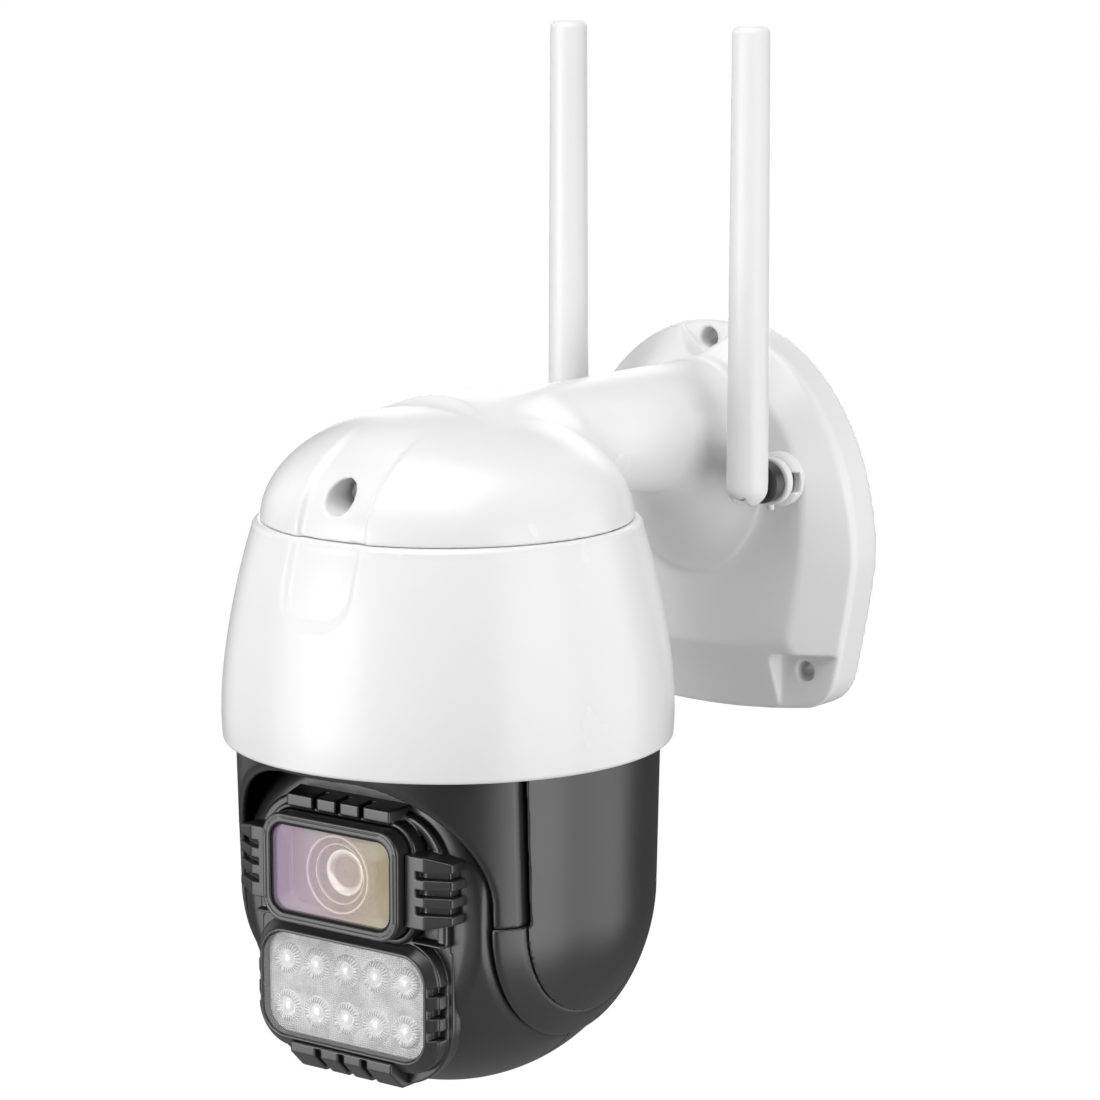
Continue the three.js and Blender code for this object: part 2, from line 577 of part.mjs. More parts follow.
const cheek = (side) => box(...[CHEEK_X, CHEEK_X + CHEEK_T].map((x) => side * x).sort((a, b) => a - b),
  -80, 80, -80, COVER_TOP);
const shellWall = cut(headBody(0, headTop), headBody(WALL, headTop + 1));
const insideHead = headBody(0.5, headTop);
let yoke = cut(shellWall, archTunnel,
  box(COVER_X, 80, -80, 80, -80, COVER_TOP + GAP), box(-80, -COVER_X, -80, 80, -80, COVER_TOP + GAP));
for (const side of [-1, 1]) yoke = join(yoke, cheek(side).intersect(insideHead));
yoke = cut(yoke, bearingBore).intersect(aboveTilt);
piece('yoke_shell', yoke, blackPlastic, head);
for (const [side, hand] of [[-1, 'left'], [1, 'right']]) {
  const strip = box(...[CHEEK_X, COVER_X - GAP].map((x) => side * x).sort((a, b) => a - b),
    -80, 80, -80, 0);
  const band = join(shellWall.intersect(strip), cheek(side).intersect(insideHead));
  piece(`yoke_band_${hand}`, cut(band, bearingBore).intersect(belowTilt), blackPlastic, head);
  const outer = box(...[COVER_X, 80].map((x) => side * x).sort((a, b) => a - b), -80, 80, -80, COVER_TOP);
  piece(`side_cover_${hand}`, shellWall.intersect(outer), blackPlastic, head);
  const bush = alongX(turned([
    [TILT_SHAFT_R + GAP, -CHEEK_T / 2], [TILT_BEARING_R, -CHEEK_T / 2], [TILT_BEARING_R, CHEEK_T / 2 + 1],
    [TILT_SHAFT_R + GAP, CHEEK_T / 2 + 1], [TILT_SHAFT_R + GAP, -CHEEK_T / 2],
  ], SMALL_ROUND)).translate([CHEEK_X + CHEEK_T / 2, 0, 0]);
  piece(`tilt_bearing_${hand}`, mirrorX(bush, side), steel, head);
}
const onTiltPinion = (body) => body.translate([0, 0, TILT_REACH]);
const motorX = CHEEK_X + CHEEK_T + GAP;
piece('tilt_motor', onTiltPinion(alongX(join(
  rod(TILT_MOTOR_R, motorX, TILT_GEAR_X - 0.5, 24),
  rod(1.2, motorX + 1, TILT_GEAR_X + TILT_GEAR_T - 0.2, TINY_ROUND)))), steel, head);
const pinionTurn = THREE.MathUtils.degToRad(180 / TILT_PINION_TEETH);
piece('tilt_pinion', onTiltPinion(alongX(gear(TILT_PINION_TEETH, TILT_MODULE, 1.2 + GAP, TILT_GEAR_X,
  TILT_GEAR_X + TILT_GEAR_T, pinionTurn))), nylon, head);
piece('tilt_gear', alongX(gear(TILT_TEETH, TILT_MODULE, TILT_SHAFT_R - 1 + GAP, TILT_GEAR_X,
  TILT_GEAR_X + TILT_GEAR_T, Math.PI)), nylon, head);

// ---- Tilting ball -------------------------------------------------------------------------
const ballOutside = new THREE.SphereGeometry(BALL_R, 30, 15).rotateX(Math.PI / 2);
const ballInside = new THREE.SphereGeometry(BALL_R - BALL_WALL, 20, 10).rotateX(Math.PI / 2);
const core = (inset) => box(-BALL_HALF_W + inset, BALL_HALF_W - inset, -BALL_FLAT_Y + inset, 80, -80, 80);
let ball = cut(solid(ballOutside).intersect(core(0)), solid(ballInside).intersect(core(BALL_WALL)),
  alongX(rod(TILT_SHAFT_R + GAP, -80, 80)));
const lensTunnel = alongFront(rod(LENS_BACK_R + GAP, 20, 60)).translate([0, 0, LENS_Z]);
ball = cut(ball, lensTunnel);
piece('ball_front_shell', ball.intersect(box(-80, 80, -80, -GAP / 2, -80, 80)), blackPlastic, head);
piece('ball_rear_shell', ball.intersect(box(-80, 80, GAP / 2, 80, -80, 80)), blackPlastic, head);
for (const [side, hand, end] of [[-1, 'left', CHEEK_X + CHEEK_T + 2.5],
  [1, 'right', TILT_GEAR_X + TILT_GEAR_T]]) {
  const inner = BALL_HALF_W - BALL_WALL - GAP;
  const shaft = alongX(turned([
    [0, inner - 2], [8, inner - 2], [8, inner], [TILT_SHAFT_R, inner],
    [TILT_SHAFT_R, Math.min(end, TILT_GEAR_X - GAP)],
    ...(side > 0 ? [[TILT_SHAFT_R - 1, TILT_GEAR_X - GAP], [TILT_SHAFT_R - 1, end]] : []),
    [0, end],
  ], SMALL_ROUND));
  piece(`tilt_shaft_${hand}`, mirrorX(shaft, side), steel, head);
}

// Face plate: arched plate with the toothed ears and the fins over the lens.
const openingSize = [CAMERA_W - 2 * CAMERA_FRAME_W, CAMERA_H - 2 * CAMERA_FRAME_W];
const cameraOpening = roundedRectangle(...openingSize, 4, CAMERA_Z);
const windowSeat = roundedRectangle(openingSize[0] + 2, openingSize[1] + 2, 5, CAMERA_Z);
let face = slab(archOutline(FACE_HALF_W, FACE_BOTTOM, FACE_TOP, 16, 20), BALL_FLAT_Y + GAP, FACE_Y);
for (const side of [-1, 1]) {
  const profile = new THREE.Shape();
  profile.moveTo(EAR_X, BALL_FLAT_Y + GAP);
  profile.lineTo(EAR_X, EAR_FRONT_Y);
  profile.lineTo(EAR_SHOULDER_X, EAR_FRONT_Y);
  profile.lineTo(EAR_TIP_X, EAR_TIP_Y);
  profile.lineTo(EAR_TIP_X, BALL_FLAT_Y + GAP);
  profile.closePath();
  const depth = { depth: EAR_TOP - EAR_BOTTOM, bevelEnabled: false };
  const geometry = new THREE.ExtrudeGeometry(profile, depth).translate(0, 0, EAR_BOTTOM);
  let ear = solid(geometry).mirror([0, 1, 0]);
  for (const step of [-1, 0, 1]) {
    const z = (EAR_TOP + EAR_BOTTOM) / 2 + step * EAR_SLOT_PITCH;
    ear = cut(ear,
      box(EAR_SLOT_X, 45, -60, 1.6 - EAR_FRONT_Y, z - EAR_SLOT_HALF, z + EAR_SLOT_HALF),
      box(EAR_NOTCH_X, 45, -60, -40, z - EAR_SLOT_HALF, z + EAR_SLOT_HALF));
  }
  face = join(face, mirrorX(ear, side));
}
let fins = box(-FIN_HALF_W, FIN_HALF_W, -FIN_FRONT_Y, 1 - FACE_Y, FACE_TOP - 3, FACE_TOP - 0.5);
for (const step of [-1, 0, 1]) {
  const x = step * FIN_PITCH;
  fins = cut(fins, box(x - FIN_SLOT / 2, x + FIN_SLOT / 2, -60, -FACE_Y - 0.5, 0, 80));
}
face = join(face, fins);
const bezelSeat = roundedRectangle(CAMERA_W + 2 * GAP, CAMERA_H + 2 * GAP, 7 + GAP, CAMERA_Z);
face = cut(face, slab(bezelSeat, FACE_Y - 1.5, 80), slab(windowSeat, 40, 80),
  slab(roundedRectangle(LED_W, LED_H, LED_CORNER_R, LED_Z), 40, 80));
piece('face_plate', face, blackPlastic, head);

// Camera module: bezel, seal, window, chamber, lens and sensor board.
const bezelBack = FACE_Y - 1.5 + GAP;
const bezel = cut(slab(roundedRectangle(CAMERA_W, CAMERA_H, 7, CAMERA_Z), bezelBack, CAMERA_FRONT_Y),
  slab(cameraOpening, 40, 80), slab(windowSeat, 40, CAMERA_FRONT_Y - 0.8));
piece('camera_bezel', bezel, blackPlastic, head);
const windowBack = CAMERA_FRONT_Y - 0.8 - GAP - GLASS_T;
const windowSize = openingSize.map((size) => size + 2 - 2 * GAP);
piece('camera_window', slab(roundedRectangle(...windowSize, 5 - GAP, CAMERA_Z), windowBack,
  windowBack + GLASS_T), tintedGlass, head);
const chamberHole = roundedRectangle(...windowSize.map((size) => size - 2 * CHAMBER_WALL), 3.7, CAMERA_Z);
piece('window_gasket', cut(slab(roundedRectangle(...windowSize, 5 - GAP, CAMERA_Z),
  windowBack - GAP - 0.8, windowBack - GAP), slab(chamberHole, 40, 80)), darkRubber, head);
const chamberFront = windowBack - 2 * GAP - 0.8;
const chamber = cut(
  slab(roundedRectangle(...windowSize, 5 - GAP, CAMERA_Z), CHAMBER_FLOOR_Y - 1.6, chamberFront),
  slab(chamberHole, CHAMBER_FLOOR_Y, 80), lensTunnel);
piece('lens_chamber', chamber, greyPlastic, head);
const lensFront = alongFront(turned([
  [0, 26], [LENS_BACK_R, 26], [LENS_BACK_R, CHAMBER_FLOOR_Y + GAP], [LENS_R, CHAMBER_FLOOR_Y + GAP],
  [LENS_R, LENS_FRONT_Y - 0.6], [LENS_R - 0.5, LENS_FRONT_Y], [LENS_R - 1.5, LENS_FRONT_Y],
  [7.4, CHAMBER_FLOOR_Y + 3], [7.4, CHAMBER_FLOOR_Y], [0, CHAMBER_FLOOR_Y],
], 24)).translate([0, 0, LENS_Z]);
piece('lens_barrel', lensFront, blackPlastic, head);
const lensGlass = alongFront(turned([
  [0, CHAMBER_FLOOR_Y + GAP], [7, CHAMBER_FLOOR_Y + GAP], [7, CHAMBER_FLOOR_Y + 1.6],
  [5.4, CHAMBER_FLOOR_Y + 3], [3, CHAMBER_FLOOR_Y + 3.9], [0, CHAMBER_FLOOR_Y + 4.2],
], 24)).translate([0, 0, LENS_Z]);
piece('lens_glass', lensGlass, tintedGlass, head);
piece('sensor_board', join(slab(roundedRectangle(34, 28, 2, LENS_Z), 24 - BOARD_T, 24),
  box(-6, 6, -26 + GAP, -23, LENS_Z - 5, LENS_Z + 5)), greenBoard, head);

// Lamp module: frame, window, lens panel, lamp board and the finned heat sink below.
const ledOutline = (grow, radius = LED_CORNER_R) => roundedRectangle(
  LED_W + 2 * grow, LED_H + 2 * grow, radius + grow, LED_Z);
let ledFrame = slab(ledOutline(1), FACE_Y + GAP, LED_FRONT_Y);
const slope = LED_FRAME_W - 1;
ledFrame = join(ledFrame, slab(ledOutline(1 + slope / 2), FACE_Y + GAP, LED_FRONT_Y - slope / 3),
  slab(ledOutline(LED_FRAME_W), FACE_Y + GAP, LED_FRONT_Y - 2 * slope / 3 + 0.4));
ledFrame = cut(ledFrame, slab(ledOutline(0), 40, 80),
  slab(bezelSeat, 40, 80), box(-FIN_HALF_W - 1, FIN_HALF_W + 1, -80, 0, FACE_TOP - 10, 80));
for (const side of [-1, 1]) {
  for (const step of [-1, 0, 1]) {
    const z = LED_Z + step * LED_NOTCH_PITCH;
    const tooth = box(LED_NOTCH_X, 40, -60, -40, z - LED_NOTCH_HALF, z + LED_NOTCH_HALF);
    ledFrame = cut(ledFrame, mirrorX(tooth, side));
  }
}
piece('led_frame', ledFrame, blackPlastic, head);
piece('led_window', slab(ledOutline(-GAP), LED_GLASS_Y - 1, LED_GLASS_Y), clearGlass, head);
const panelFront = LED_GLASS_Y - 1 - GAP;
let ledPanel = slab(ledOutline(-GAP), panelFront - 2.2, panelFront - 1.4);
for (const row of [-0.5, 0.5]) {
  for (const column of [-2, -1, 0, 1, 2]) {
    const cone = alongFront(turned([
      [0, panelFront - 1.8], [LED_R - 1.2, panelFront - 1.8], [LED_R, panelFront - 0.3],
      [0, panelFront - 0.3],
    ], TINY_ROUND));
    ledPanel = join(ledPanel, cone.translate([column * LED_PITCH_X, 0, LED_Z + row * LED_PITCH_Z]));
  }
}
piece('led_lens_panel', ledPanel, silverTray, head);
piece('led_board', slab(ledOutline(-GAP - 0.4), BALL_FLAT_Y + GAP, BALL_FLAT_Y + GAP + 0.9),
  greenBoard, head);
let sink = box(-SINK_HALF_W, SINK_HALF_W, -FACE_Y + 0.4, -38, FACE_BOTTOM - 0.6, -38);
sink = cut(sink, solid(new THREE.SphereGeometry(BALL_R + GAP, 30, 15).rotateX(Math.PI / 2)),
  slab(archOutline(FACE_HALF_W + GAP, FACE_BOTTOM - GAP, FACE_TOP, 16, 20), BALL_FLAT_Y, 80));
for (const x of SINK_SLOTS) sink = cut(sink, box(x - 0.9, x + 0.9, -80, -39.5, -80, FACE_BOTTOM + 2));
piece('led_heat_sink', sink, aluminium, head);

// ---- Antennas -----------------------------------------------------------------------------
for (const [side, hand] of [[-1, 'left'], [1, 'right']]) {
  const socket = new THREE.Group();
  socket.position.set(side * ANTENNA_X, 0, ANTENNA_Z);
  camera.add(socket);
  const barrelBack = PANEL_T + 4.4;
  let collar = alongFront(ring(COLLAR_R - 3.6 + 2 * GAP, COLLAR_R, PANEL_T + GAP, barrelBack, SMALL_ROUND));
  collar = cut(collar, box(2, COLLAR_R + 1, -40, -PANEL_T - 2, -3.1, 2.9));
  piece(`antenna_collar_${hand}`, mirrorX(collar, side), whitePlastic, socket);
  const barrelFront = -ANTENNA_Y - ANTENNA_FOOT_R - GAP;
  const flangeFront = barrelBack + GAP + 3;
  const bush = alongFront(turned([
    [0, PANEL_T - 4], [COLLAR_R - 4.1, PANEL_T - 4], [COLLAR_R - 4.1, flangeFront + 0.6],
    [BARREL_R, flangeFront + 0.6], [BARREL_R, barrelFront], [0, barrelFront],
  ], SMALL_ROUND));
  const tongue = join(
    box(-TONGUE_HALF_W, TONGUE_HALF_W, ANTENNA_Y, -barrelFront + 1, -TONGUE_R, TONGUE_R),
    alongX(rod(TONGUE_R, -TONGUE_HALF_W, TONGUE_HALF_W)).translate([0, ANTENNA_Y, 0]));
  const pinBore = alongX(rod(HINGE_PIN_R + GAP, -20, 20, TINY_ROUND)).translate([0, ANTENNA_Y, 0]);
  piece(`antenna_barrel_${hand}`, cut(join(bush, tongue), pinBore), blackPlastic, socket);
  const flange = join(
    alongFront(ring(COLLAR_R - 4.1 + GAP, FLANGE_R, barrelBack + GAP, flangeFront, SMALL_ROUND)),
    box(-1.2, 1.2, -flangeFront, -barrelBack - GAP, -FLANGE_R - 1.6, -FLANGE_R + 1));
  piece(`antenna_flange_${hand}`, flange, whitePlastic, socket);
  const pin = alongX(rod(HINGE_PIN_R, -4.8, 4.8, TINY_ROUND)).translate([0, ANTENNA_Y, 0]);
  piece(`antenna_pin_${hand}`, pin, steel, socket);

  const foot = [];
  for (let i = 1; i <= 4; i += 1) {
    const angle = i / 4 * Math.PI / 2;
    foot.push([ANTENNA_FOOT_R * Math.sin(angle), -ANTENNA_FOOT_R * Math.cos(angle)]);
  }
  const top = ANTENNA_TOP - ANTENNA_Z;
  const stick = turned([[0, -ANTENNA_FOOT_R], ...foot, [ANTENNA_TIP_R, top - 2],
    [ANTENNA_TIP_R - 1.6, top - 0.4], [0, top]], SMALL_ROUND).translate([0, ANTENNA_Y, 0]);
  const slotHalf = TONGUE_HALF_W + GAP;
  const reach = TONGUE_R + GAP;
  const slot = join(
    box(-slotHalf, slotHalf, ANTENNA_Y - reach, ANTENNA_Y + 12, -12, 0),
    box(-slotHalf, slotHalf, ANTENNA_Y, ANTENNA_Y + 12, -1, reach),
    alongX(rod(reach, -slotHalf, slotHalf)).translate([0, ANTENNA_Y, 0]));
  const hingeBore = alongX(rod(HINGE_PIN_R + GAP, -5.1, 5.1, TINY_ROUND)).translate([0, ANTENNA_Y, 0]);
  piece(`antenna_rod_${hand}`, cut(stick, slot, hingeBore), whitePlastic, socket);
}

export default camera;
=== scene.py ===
# %% [markdown]
# # A pan-and-tilt security camera, piece by piece
# This lesson dresses a finished frame. The frame holds the sizes, the joints and where each piece sits,
# so every value below is either read from it or is a detail too small for it, such as the round of an edge.
# Shapes are thought out in millimetres, as a maker would, and turned into metres only as a mesh is made.

# %% Load the frame and read the key places from it
import json
import math

import bpy
import numpy as np
from mathutils import Matrix, Vector


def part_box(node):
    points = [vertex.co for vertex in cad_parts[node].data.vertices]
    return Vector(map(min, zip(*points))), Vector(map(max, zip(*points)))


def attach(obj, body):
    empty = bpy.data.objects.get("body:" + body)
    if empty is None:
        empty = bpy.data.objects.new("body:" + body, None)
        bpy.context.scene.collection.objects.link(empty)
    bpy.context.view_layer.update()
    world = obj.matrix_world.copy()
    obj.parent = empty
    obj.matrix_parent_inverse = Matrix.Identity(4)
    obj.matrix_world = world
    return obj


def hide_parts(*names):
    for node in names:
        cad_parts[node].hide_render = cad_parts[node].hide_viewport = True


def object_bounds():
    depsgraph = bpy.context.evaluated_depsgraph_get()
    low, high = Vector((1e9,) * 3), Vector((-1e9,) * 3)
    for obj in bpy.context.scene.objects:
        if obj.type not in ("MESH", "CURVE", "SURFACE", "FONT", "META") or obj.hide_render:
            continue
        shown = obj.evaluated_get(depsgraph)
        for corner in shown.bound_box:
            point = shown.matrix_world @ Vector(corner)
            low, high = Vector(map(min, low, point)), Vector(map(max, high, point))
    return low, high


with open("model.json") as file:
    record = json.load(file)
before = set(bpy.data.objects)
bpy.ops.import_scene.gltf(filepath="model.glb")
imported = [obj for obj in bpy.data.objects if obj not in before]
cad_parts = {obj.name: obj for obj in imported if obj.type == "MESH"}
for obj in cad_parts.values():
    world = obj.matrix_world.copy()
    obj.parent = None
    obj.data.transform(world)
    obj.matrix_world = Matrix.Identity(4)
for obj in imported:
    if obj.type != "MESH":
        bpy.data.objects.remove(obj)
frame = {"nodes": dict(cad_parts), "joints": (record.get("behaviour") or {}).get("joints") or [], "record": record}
cad_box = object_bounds()

MM = 0.001
turn = {joint["name"]: [value / MM for value in joint["pos_m"]] for joint in frame["joints"]}
DOME_Y = turn["pan"][1]
TILT_Z = turn["tilt"][2]


def lowest(node):
    return [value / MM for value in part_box(node)[0]]


def highest(node):
    return [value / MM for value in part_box(node)[1]]


RIM_Z = lowest("skirt_shell")[2]
HEAD = (0.0, DOME_Y, TILT_Z)
print("dome axis", round(DOME_Y, 2), "rim", round(RIM_Z, 2), "tilt axis", round(TILT_Z, 2))

# %% [markdown]
# ## The eye of the viewer
# The camera stands to the right of the lens and a little above it, about 1.2 m away, with a long lens. A
# short lens would come closer and swell the head; the long one keeps the antennas upright and parallel.

# %% Place the view camera
def put(name, data):
    """An object in the scene that shows the given data."""
    thing = bpy.data.objects.new(name, data)
    bpy.context.collection.objects.link(thing)
    return thing


VIEW_TURN = math.radians(36.88)
VIEW_DROP = math.radians(10.2)
VIEW_PLACE = Vector((0.67683, -0.99672, 0.20267))

view = put("view_camera", bpy.data.cameras.new("view_camera"))
view.data.sensor_width = 36.0
view.data.lens = 126.86
view.data.clip_end = 20.0
view.rotation_euler = (math.pi / 2 - VIEW_DROP, 0.0, VIEW_TURN)
view.location = VIEW_PLACE
bpy.context.scene.camera = view
print("view camera at", [round(value, 3) for value in view.location])

# %% [markdown]
# ## A white studio with eight softboxes
# White plastic reads as white only if it is well lit, and black plastic shows its form only by what it
# reflects. Two softboxes left of the lens are mirrored by the flat front faces and one to the right by the
# side covers, with a dark gap between them; one lights from above, and weaker ones lift the far sides. The
# pale floor lies far below: the eye sees it as plain white, while the piece sees a soft grey glow.

# %% Helpers for node trees
def add_node(tree, kind, **settings):
    node = tree.nodes.new(kind)
    for key, value in settings.items():
        if key in node.inputs:
            node.inputs[key].default_value = value
        else:
            setattr(node, key, value)
    return node


def link(source, output, target, entry):
    source.id_data.links.new(source.outputs[output], target.inputs[entry])


def ramp(tree, stops):
    """A colour ramp with the given (position, colour) stops."""
    node = add_node(tree, "ShaderNodeValToRGB")
    elements = node.color_ramp.elements
    while len(elements) < len(stops):
        elements.new(0.5)
    for element, (position, colour) in zip(elements, stops):
        element.position = position
        element.color = (*colour, 1)
    return node


def new_material(name, values=()):
    """A Principled material with the given sockets set."""
    material = bpy.data.materials.new(name)
    material.use_nodes = True
    shader = material.node_tree.nodes["Principled BSDF"]
    for key, value in dict(values).items():
        shader.inputs[key].default_value = value
    return material, shader


def white_for_camera(shader, output, kind):
    """What the camera sees straight on is plain white; everything else meets the shader."""
    path = add_node(shader.id_data, "ShaderNodeLightPath")
    glow = add_node(shader.id_data, kind, Color=(1, 1, 1, 1), Strength=1.0)
    mix = add_node(shader.id_data, "ShaderNodeMixShader")
    link(path, "Is Camera Ray", mix, 0)
    link(shader, 0, mix, 1)
    link(glow, 0, mix, 2)
    link(mix, 0, output, "Surface")


# %% Room light and floor
FLOOR_DROP = 0.6
FLOOR_HALF = 40.0

scene = bpy.context.scene
scene.view_settings.view_transform = "Standard"
scene.view_settings.look = "None"
scene.view_settings.exposure = 0.0

world = bpy.data.worlds.new("white_room")
world.use_nodes = True
room = world.node_tree
room_light = room.nodes["Background"]
direction = add_node(room, "ShaderNodeTexCoord")
height = add_node(room, "ShaderNodeSeparateXYZ")
sky = ramp(room, [(0.1, (0.04, 0.04, 0.04)), (0.9, (0.26, 0.26, 0.26))])
link(direction, "Generated", height, "Vector")
link(height, "Z", sky, "Fac")
link(sky, "Color", room_light, "Color")
white_for_camera(room_light, room.nodes["World Output"], "ShaderNodeBackground")
scene.world = world

floor_mesh = bpy.data.meshes.new("studio_floor")
corners = [(x * FLOOR_HALF, y * FLOOR_HALF, 0) for x, y in ((-1, -1), (1, -1), (1, 1), (-1, 1))]
floor_mesh.from_pydata(corners, [], [(0, 1, 2, 3)])
floor = put("studio_floor", floor_mesh)
floor.location.z = cad_box[0][2] - FLOOR_DROP
floor_paint, floor_shader = new_material(
    "floor_paint", {"Base Color": (0.36, 0.36, 0.36, 1), "Roughness": 0.9})
floor_output = floor_paint.node_tree.nodes["Material Output"]
white_for_camera(floor_shader, floor_output, "ShaderNodeEmission")
floor_mesh.materials.append(floor_paint)
print("floor at", round(floor.location.z, 3))

# %% Softboxes
MIDDLE = Vector((0.0, DOME_Y * MM, RIM_Z * MM))


def softbox(name, turn_deg, rise_deg, distance, size, brightness):
    """A lamp seen from the dome's middle: turned from the front towards +X, and raised."""
    turned, rise = math.radians(turn_deg), math.radians(rise_deg)
    aim = Vector((math.sin(turned) * math.cos(rise), -math.cos(turned) * math.cos(rise), math.sin(rise)))
    data = bpy.data.lights.new(name, "AREA")
    data.shape = "RECTANGLE"
    data.size, data.size_y = size
    data.energy = brightness * math.pi * size[0] * size[1]
    holder = put(name, data)
    holder.location = MIDDLE + aim * distance
    holder.rotation_euler = aim.to_track_quat("Z", "Y").to_euler()


for name, *setting in (
        ("left", -37, -10, 1.0, (0.6, 1.0), 2.0), ("front", -20, 2, 0.9, (0.5, 0.5), 3.8),
        ("right", 85, -5, 1.0, (0.7, 1.1), 2.6), ("right_rear", 128, -3, 1.0, (0.7, 0.9), 1.6),
        ("front_fill", 8, -8, 1.1, (0.5, 0.9), 0.45), ("top", 15, 72, 1.0, (0.9, 0.9), 3.3),
        ("left_side", -95, 5, 1.2, (0.6, 0.9), 0.5), ("rear", -155, 12, 1.3, (1.0, 0.9), 1.6)):
    softbox(f"{name}_softbox", *setting)
print("room, floor and eight softboxes are set")

# %% [markdown]
# ## Describing a moulding by distance
# A moulded shell is mostly soft unions: an arm runs into a dome, a rib into a plate, and every edge has a
# radius. It could be built from boxes with booleans and bevels, but bevels fail where many faces meet. Here
# each piece is a rule that gives, for any point, the distance to its surface. Two rules are joined, cut or
# limited with a radius, and the radius is the fillet that a mould has.

# %% Joining and cutting with a radius
def meet(a, b, radius=0.0):
    """What lies in both forms; radius rounds the edge between them."""
    if not radius:
        return np.maximum(a, b)
    corner = np.hypot(np.maximum(a + radius, 0), np.maximum(b + radius, 0))
    return np.minimum(np.maximum(a, b), -radius) + corner


def join(a, b, radius=0.0):
    return -meet(-a, -b, radius)


def cut(a, b, radius=0.0):
    return meet(a, -b, radius)


def between(value, low, high):
    return np.maximum(low - value, value - high)


def fade(value, start, end):
    share = np.clip((value - start) / (end - start), 0, 1)
    return share * share * (3 - 2 * share)


def oval(x, z, half_width, half_height):
    """Distance to an ellipse about the origin, close enough near its edge."""
    near = np.hypot(x / half_width, z / half_height)
    slope = np.hypot(x / half_width ** 2, z / half_height ** 2)
    return near * (near - 1) / np.maximum(slope, 1e-6)


def round_corner(side, top, radius):
    """Distance outside a corner of the given radius, from two sides that lie that far inside it."""
    return np.hypot(np.maximum(side, 0), np.maximum(top, 0)) + np.minimum(np.maximum(side, top), 0) - radius


def round_rectangle(x, z, half_width, half_height, radius):
    return round_corner(np.abs(x) - half_width + radius, np.abs(z) - half_height + radius, radius)


# %% [markdown]
# ## From a rule to a mesh
# The rule is read on a fine grid. Each little cell that the surface crosses gets one vertex, neighbouring
# cells share a four-sided face, and each vertex is then pulled onto the surface along its slope. The
# result is an even net of quads with no poles and no seams, which takes smooth shading and thin lines well.

# %% The net maker
CELL_CORNERS = [(i, j, k) for i in (0, 1) for j in (0, 1) for k in (0, 1)]


def net_vertices(value, cells):
    """The middle of the points where the surface crosses each cell's edges, in cell units."""
    total = np.zeros((len(cells), 3))
    hits = np.zeros(len(cells))
    for start in CELL_CORNERS:
        for axis in range(3):
            if start[axis]:
                continue
            end = list(start)
            end[axis] = 1
            a = value[tuple((cells + start).T)]
            b = value[tuple((cells + end).T)]
            crosses = (a < 0) != (b < 0)
            share = a[crosses] / (a[crosses] - b[crosses])
            point = np.tile(np.array(start, float), (crosses.sum(), 1))
            point[:, axis] += share
            total[crosses] += point
            hits[crosses] += 1
    return cells + total / hits[:, None]


def net_faces(inside, number):
    """One quad round each grid edge that the surface crosses, wound so that it faces outwards."""
    faces = []
    for axis in range(3):
        u, v = (axis + 1) % 3, (axis + 2) % 3
        low = np.take(inside, range(inside.shape[axis] - 1), axis)
        high = np.take(inside, range(1, inside.shape[axis]), axis)
        edges = np.argwhere(low != high)
        edges = edges[(edges[:, u] > 0) & (edges[:, v] > 0)]
        outward = low[tuple(edges.T)]
        step_u, step_v = np.eye(3, dtype=int)[u], np.eye(3, dtype=int)[v]
        ring = [edges - step_u - step_v, edges - step_v, edges, edges - step_u]
        quads = np.stack([number[tuple(cell.T)] for cell in ring], 1)
        quads[~outward] = quads[~outward][:, ::-1]
        faces.append(quads)
    return np.concatenate(faces)


def settle(rule, points, step):
    """Pulls each vertex onto the surface along the rule's slope."""
    reach = 0.15 * step
    for _ in range(3):
        distance = rule(*points.T)
        slope = np.stack([
            rule(*(points + reach * side).T) - rule(*(points - reach * side).T)
            for side in np.eye(3)], 1) / (2 * reach)
        length = np.maximum((slope ** 2).sum(1), 0.25)
        move = np.clip(distance / length, -0.6 * step, 0.6 * step)
        points = points - move[:, None] * slope
    return points


def mesh_object(name, points, faces, place=(0, 0, 0)):
    """A smooth-shaded object of points in millimetres and faces of any one size."""
    faces = np.asarray(faces, dtype=np.int32)
    mesh = bpy.data.meshes.new(name)
    mesh.vertices.add(len(points))
    spots = (np.asarray(points, float) + np.array(place)) * MM
    mesh.vertices.foreach_set("co", spots.ravel())
    mesh.loops.add(faces.size)
    mesh.loops.foreach_set("vertex_index", faces.ravel())
    mesh.polygons.add(len(faces))
    mesh.polygons.foreach_set("loop_start", np.arange(0, faces.size, faces.shape[1]))
    mesh.update(calc_edges=True)
    mesh.validate()
    mesh.shade_smooth()
    return put(name, mesh)


def carve(name, rule, low, high, step, place=(0, 0, 0)):
    """A mesh of the rule's surface inside a box, with a vertex about every step millimetres."""
    lines = [np.arange(a - 1.5 * step, b + 2.5 * step, step) for a, b in zip(low, high)]
    x, y, z = np.meshgrid(*lines, indexing="ij", sparse=True)
    value = np.broadcast_to(rule(x, y, z), [len(line) for line in lines])
    inside = value < 0
    wide, deep, tall = [len(line) - 1 for line in lines]
    count = sum(inside[i:wide + i, j:deep + j, k:tall + k].astype(np.int8) for i, j, k in CELL_CORNERS)
    cells = np.argwhere((count > 0) & (count < 8))
    number = np.full(count.shape, -1, dtype=np.int32)
    number[tuple(cells.T)] = np.arange(len(cells))
    points = np.array([line[0] for line in lines]) + step * net_vertices(value, cells)
    piece = mesh_object(name, settle(rule, points, step), net_faces(inside, number), place)
    print(name, len(cells), "vertices")
    return piece


# %% [markdown]
# ## Turned pieces
# A skirt, a lens ring or a button head is round about an axis. Its outline is a list of radius and height,
# and each point is swept round in steps. A small function may push each point in or out by its angle, which
# is how the shallow channel down the front of the skirt is pressed in without breaking the even rings.

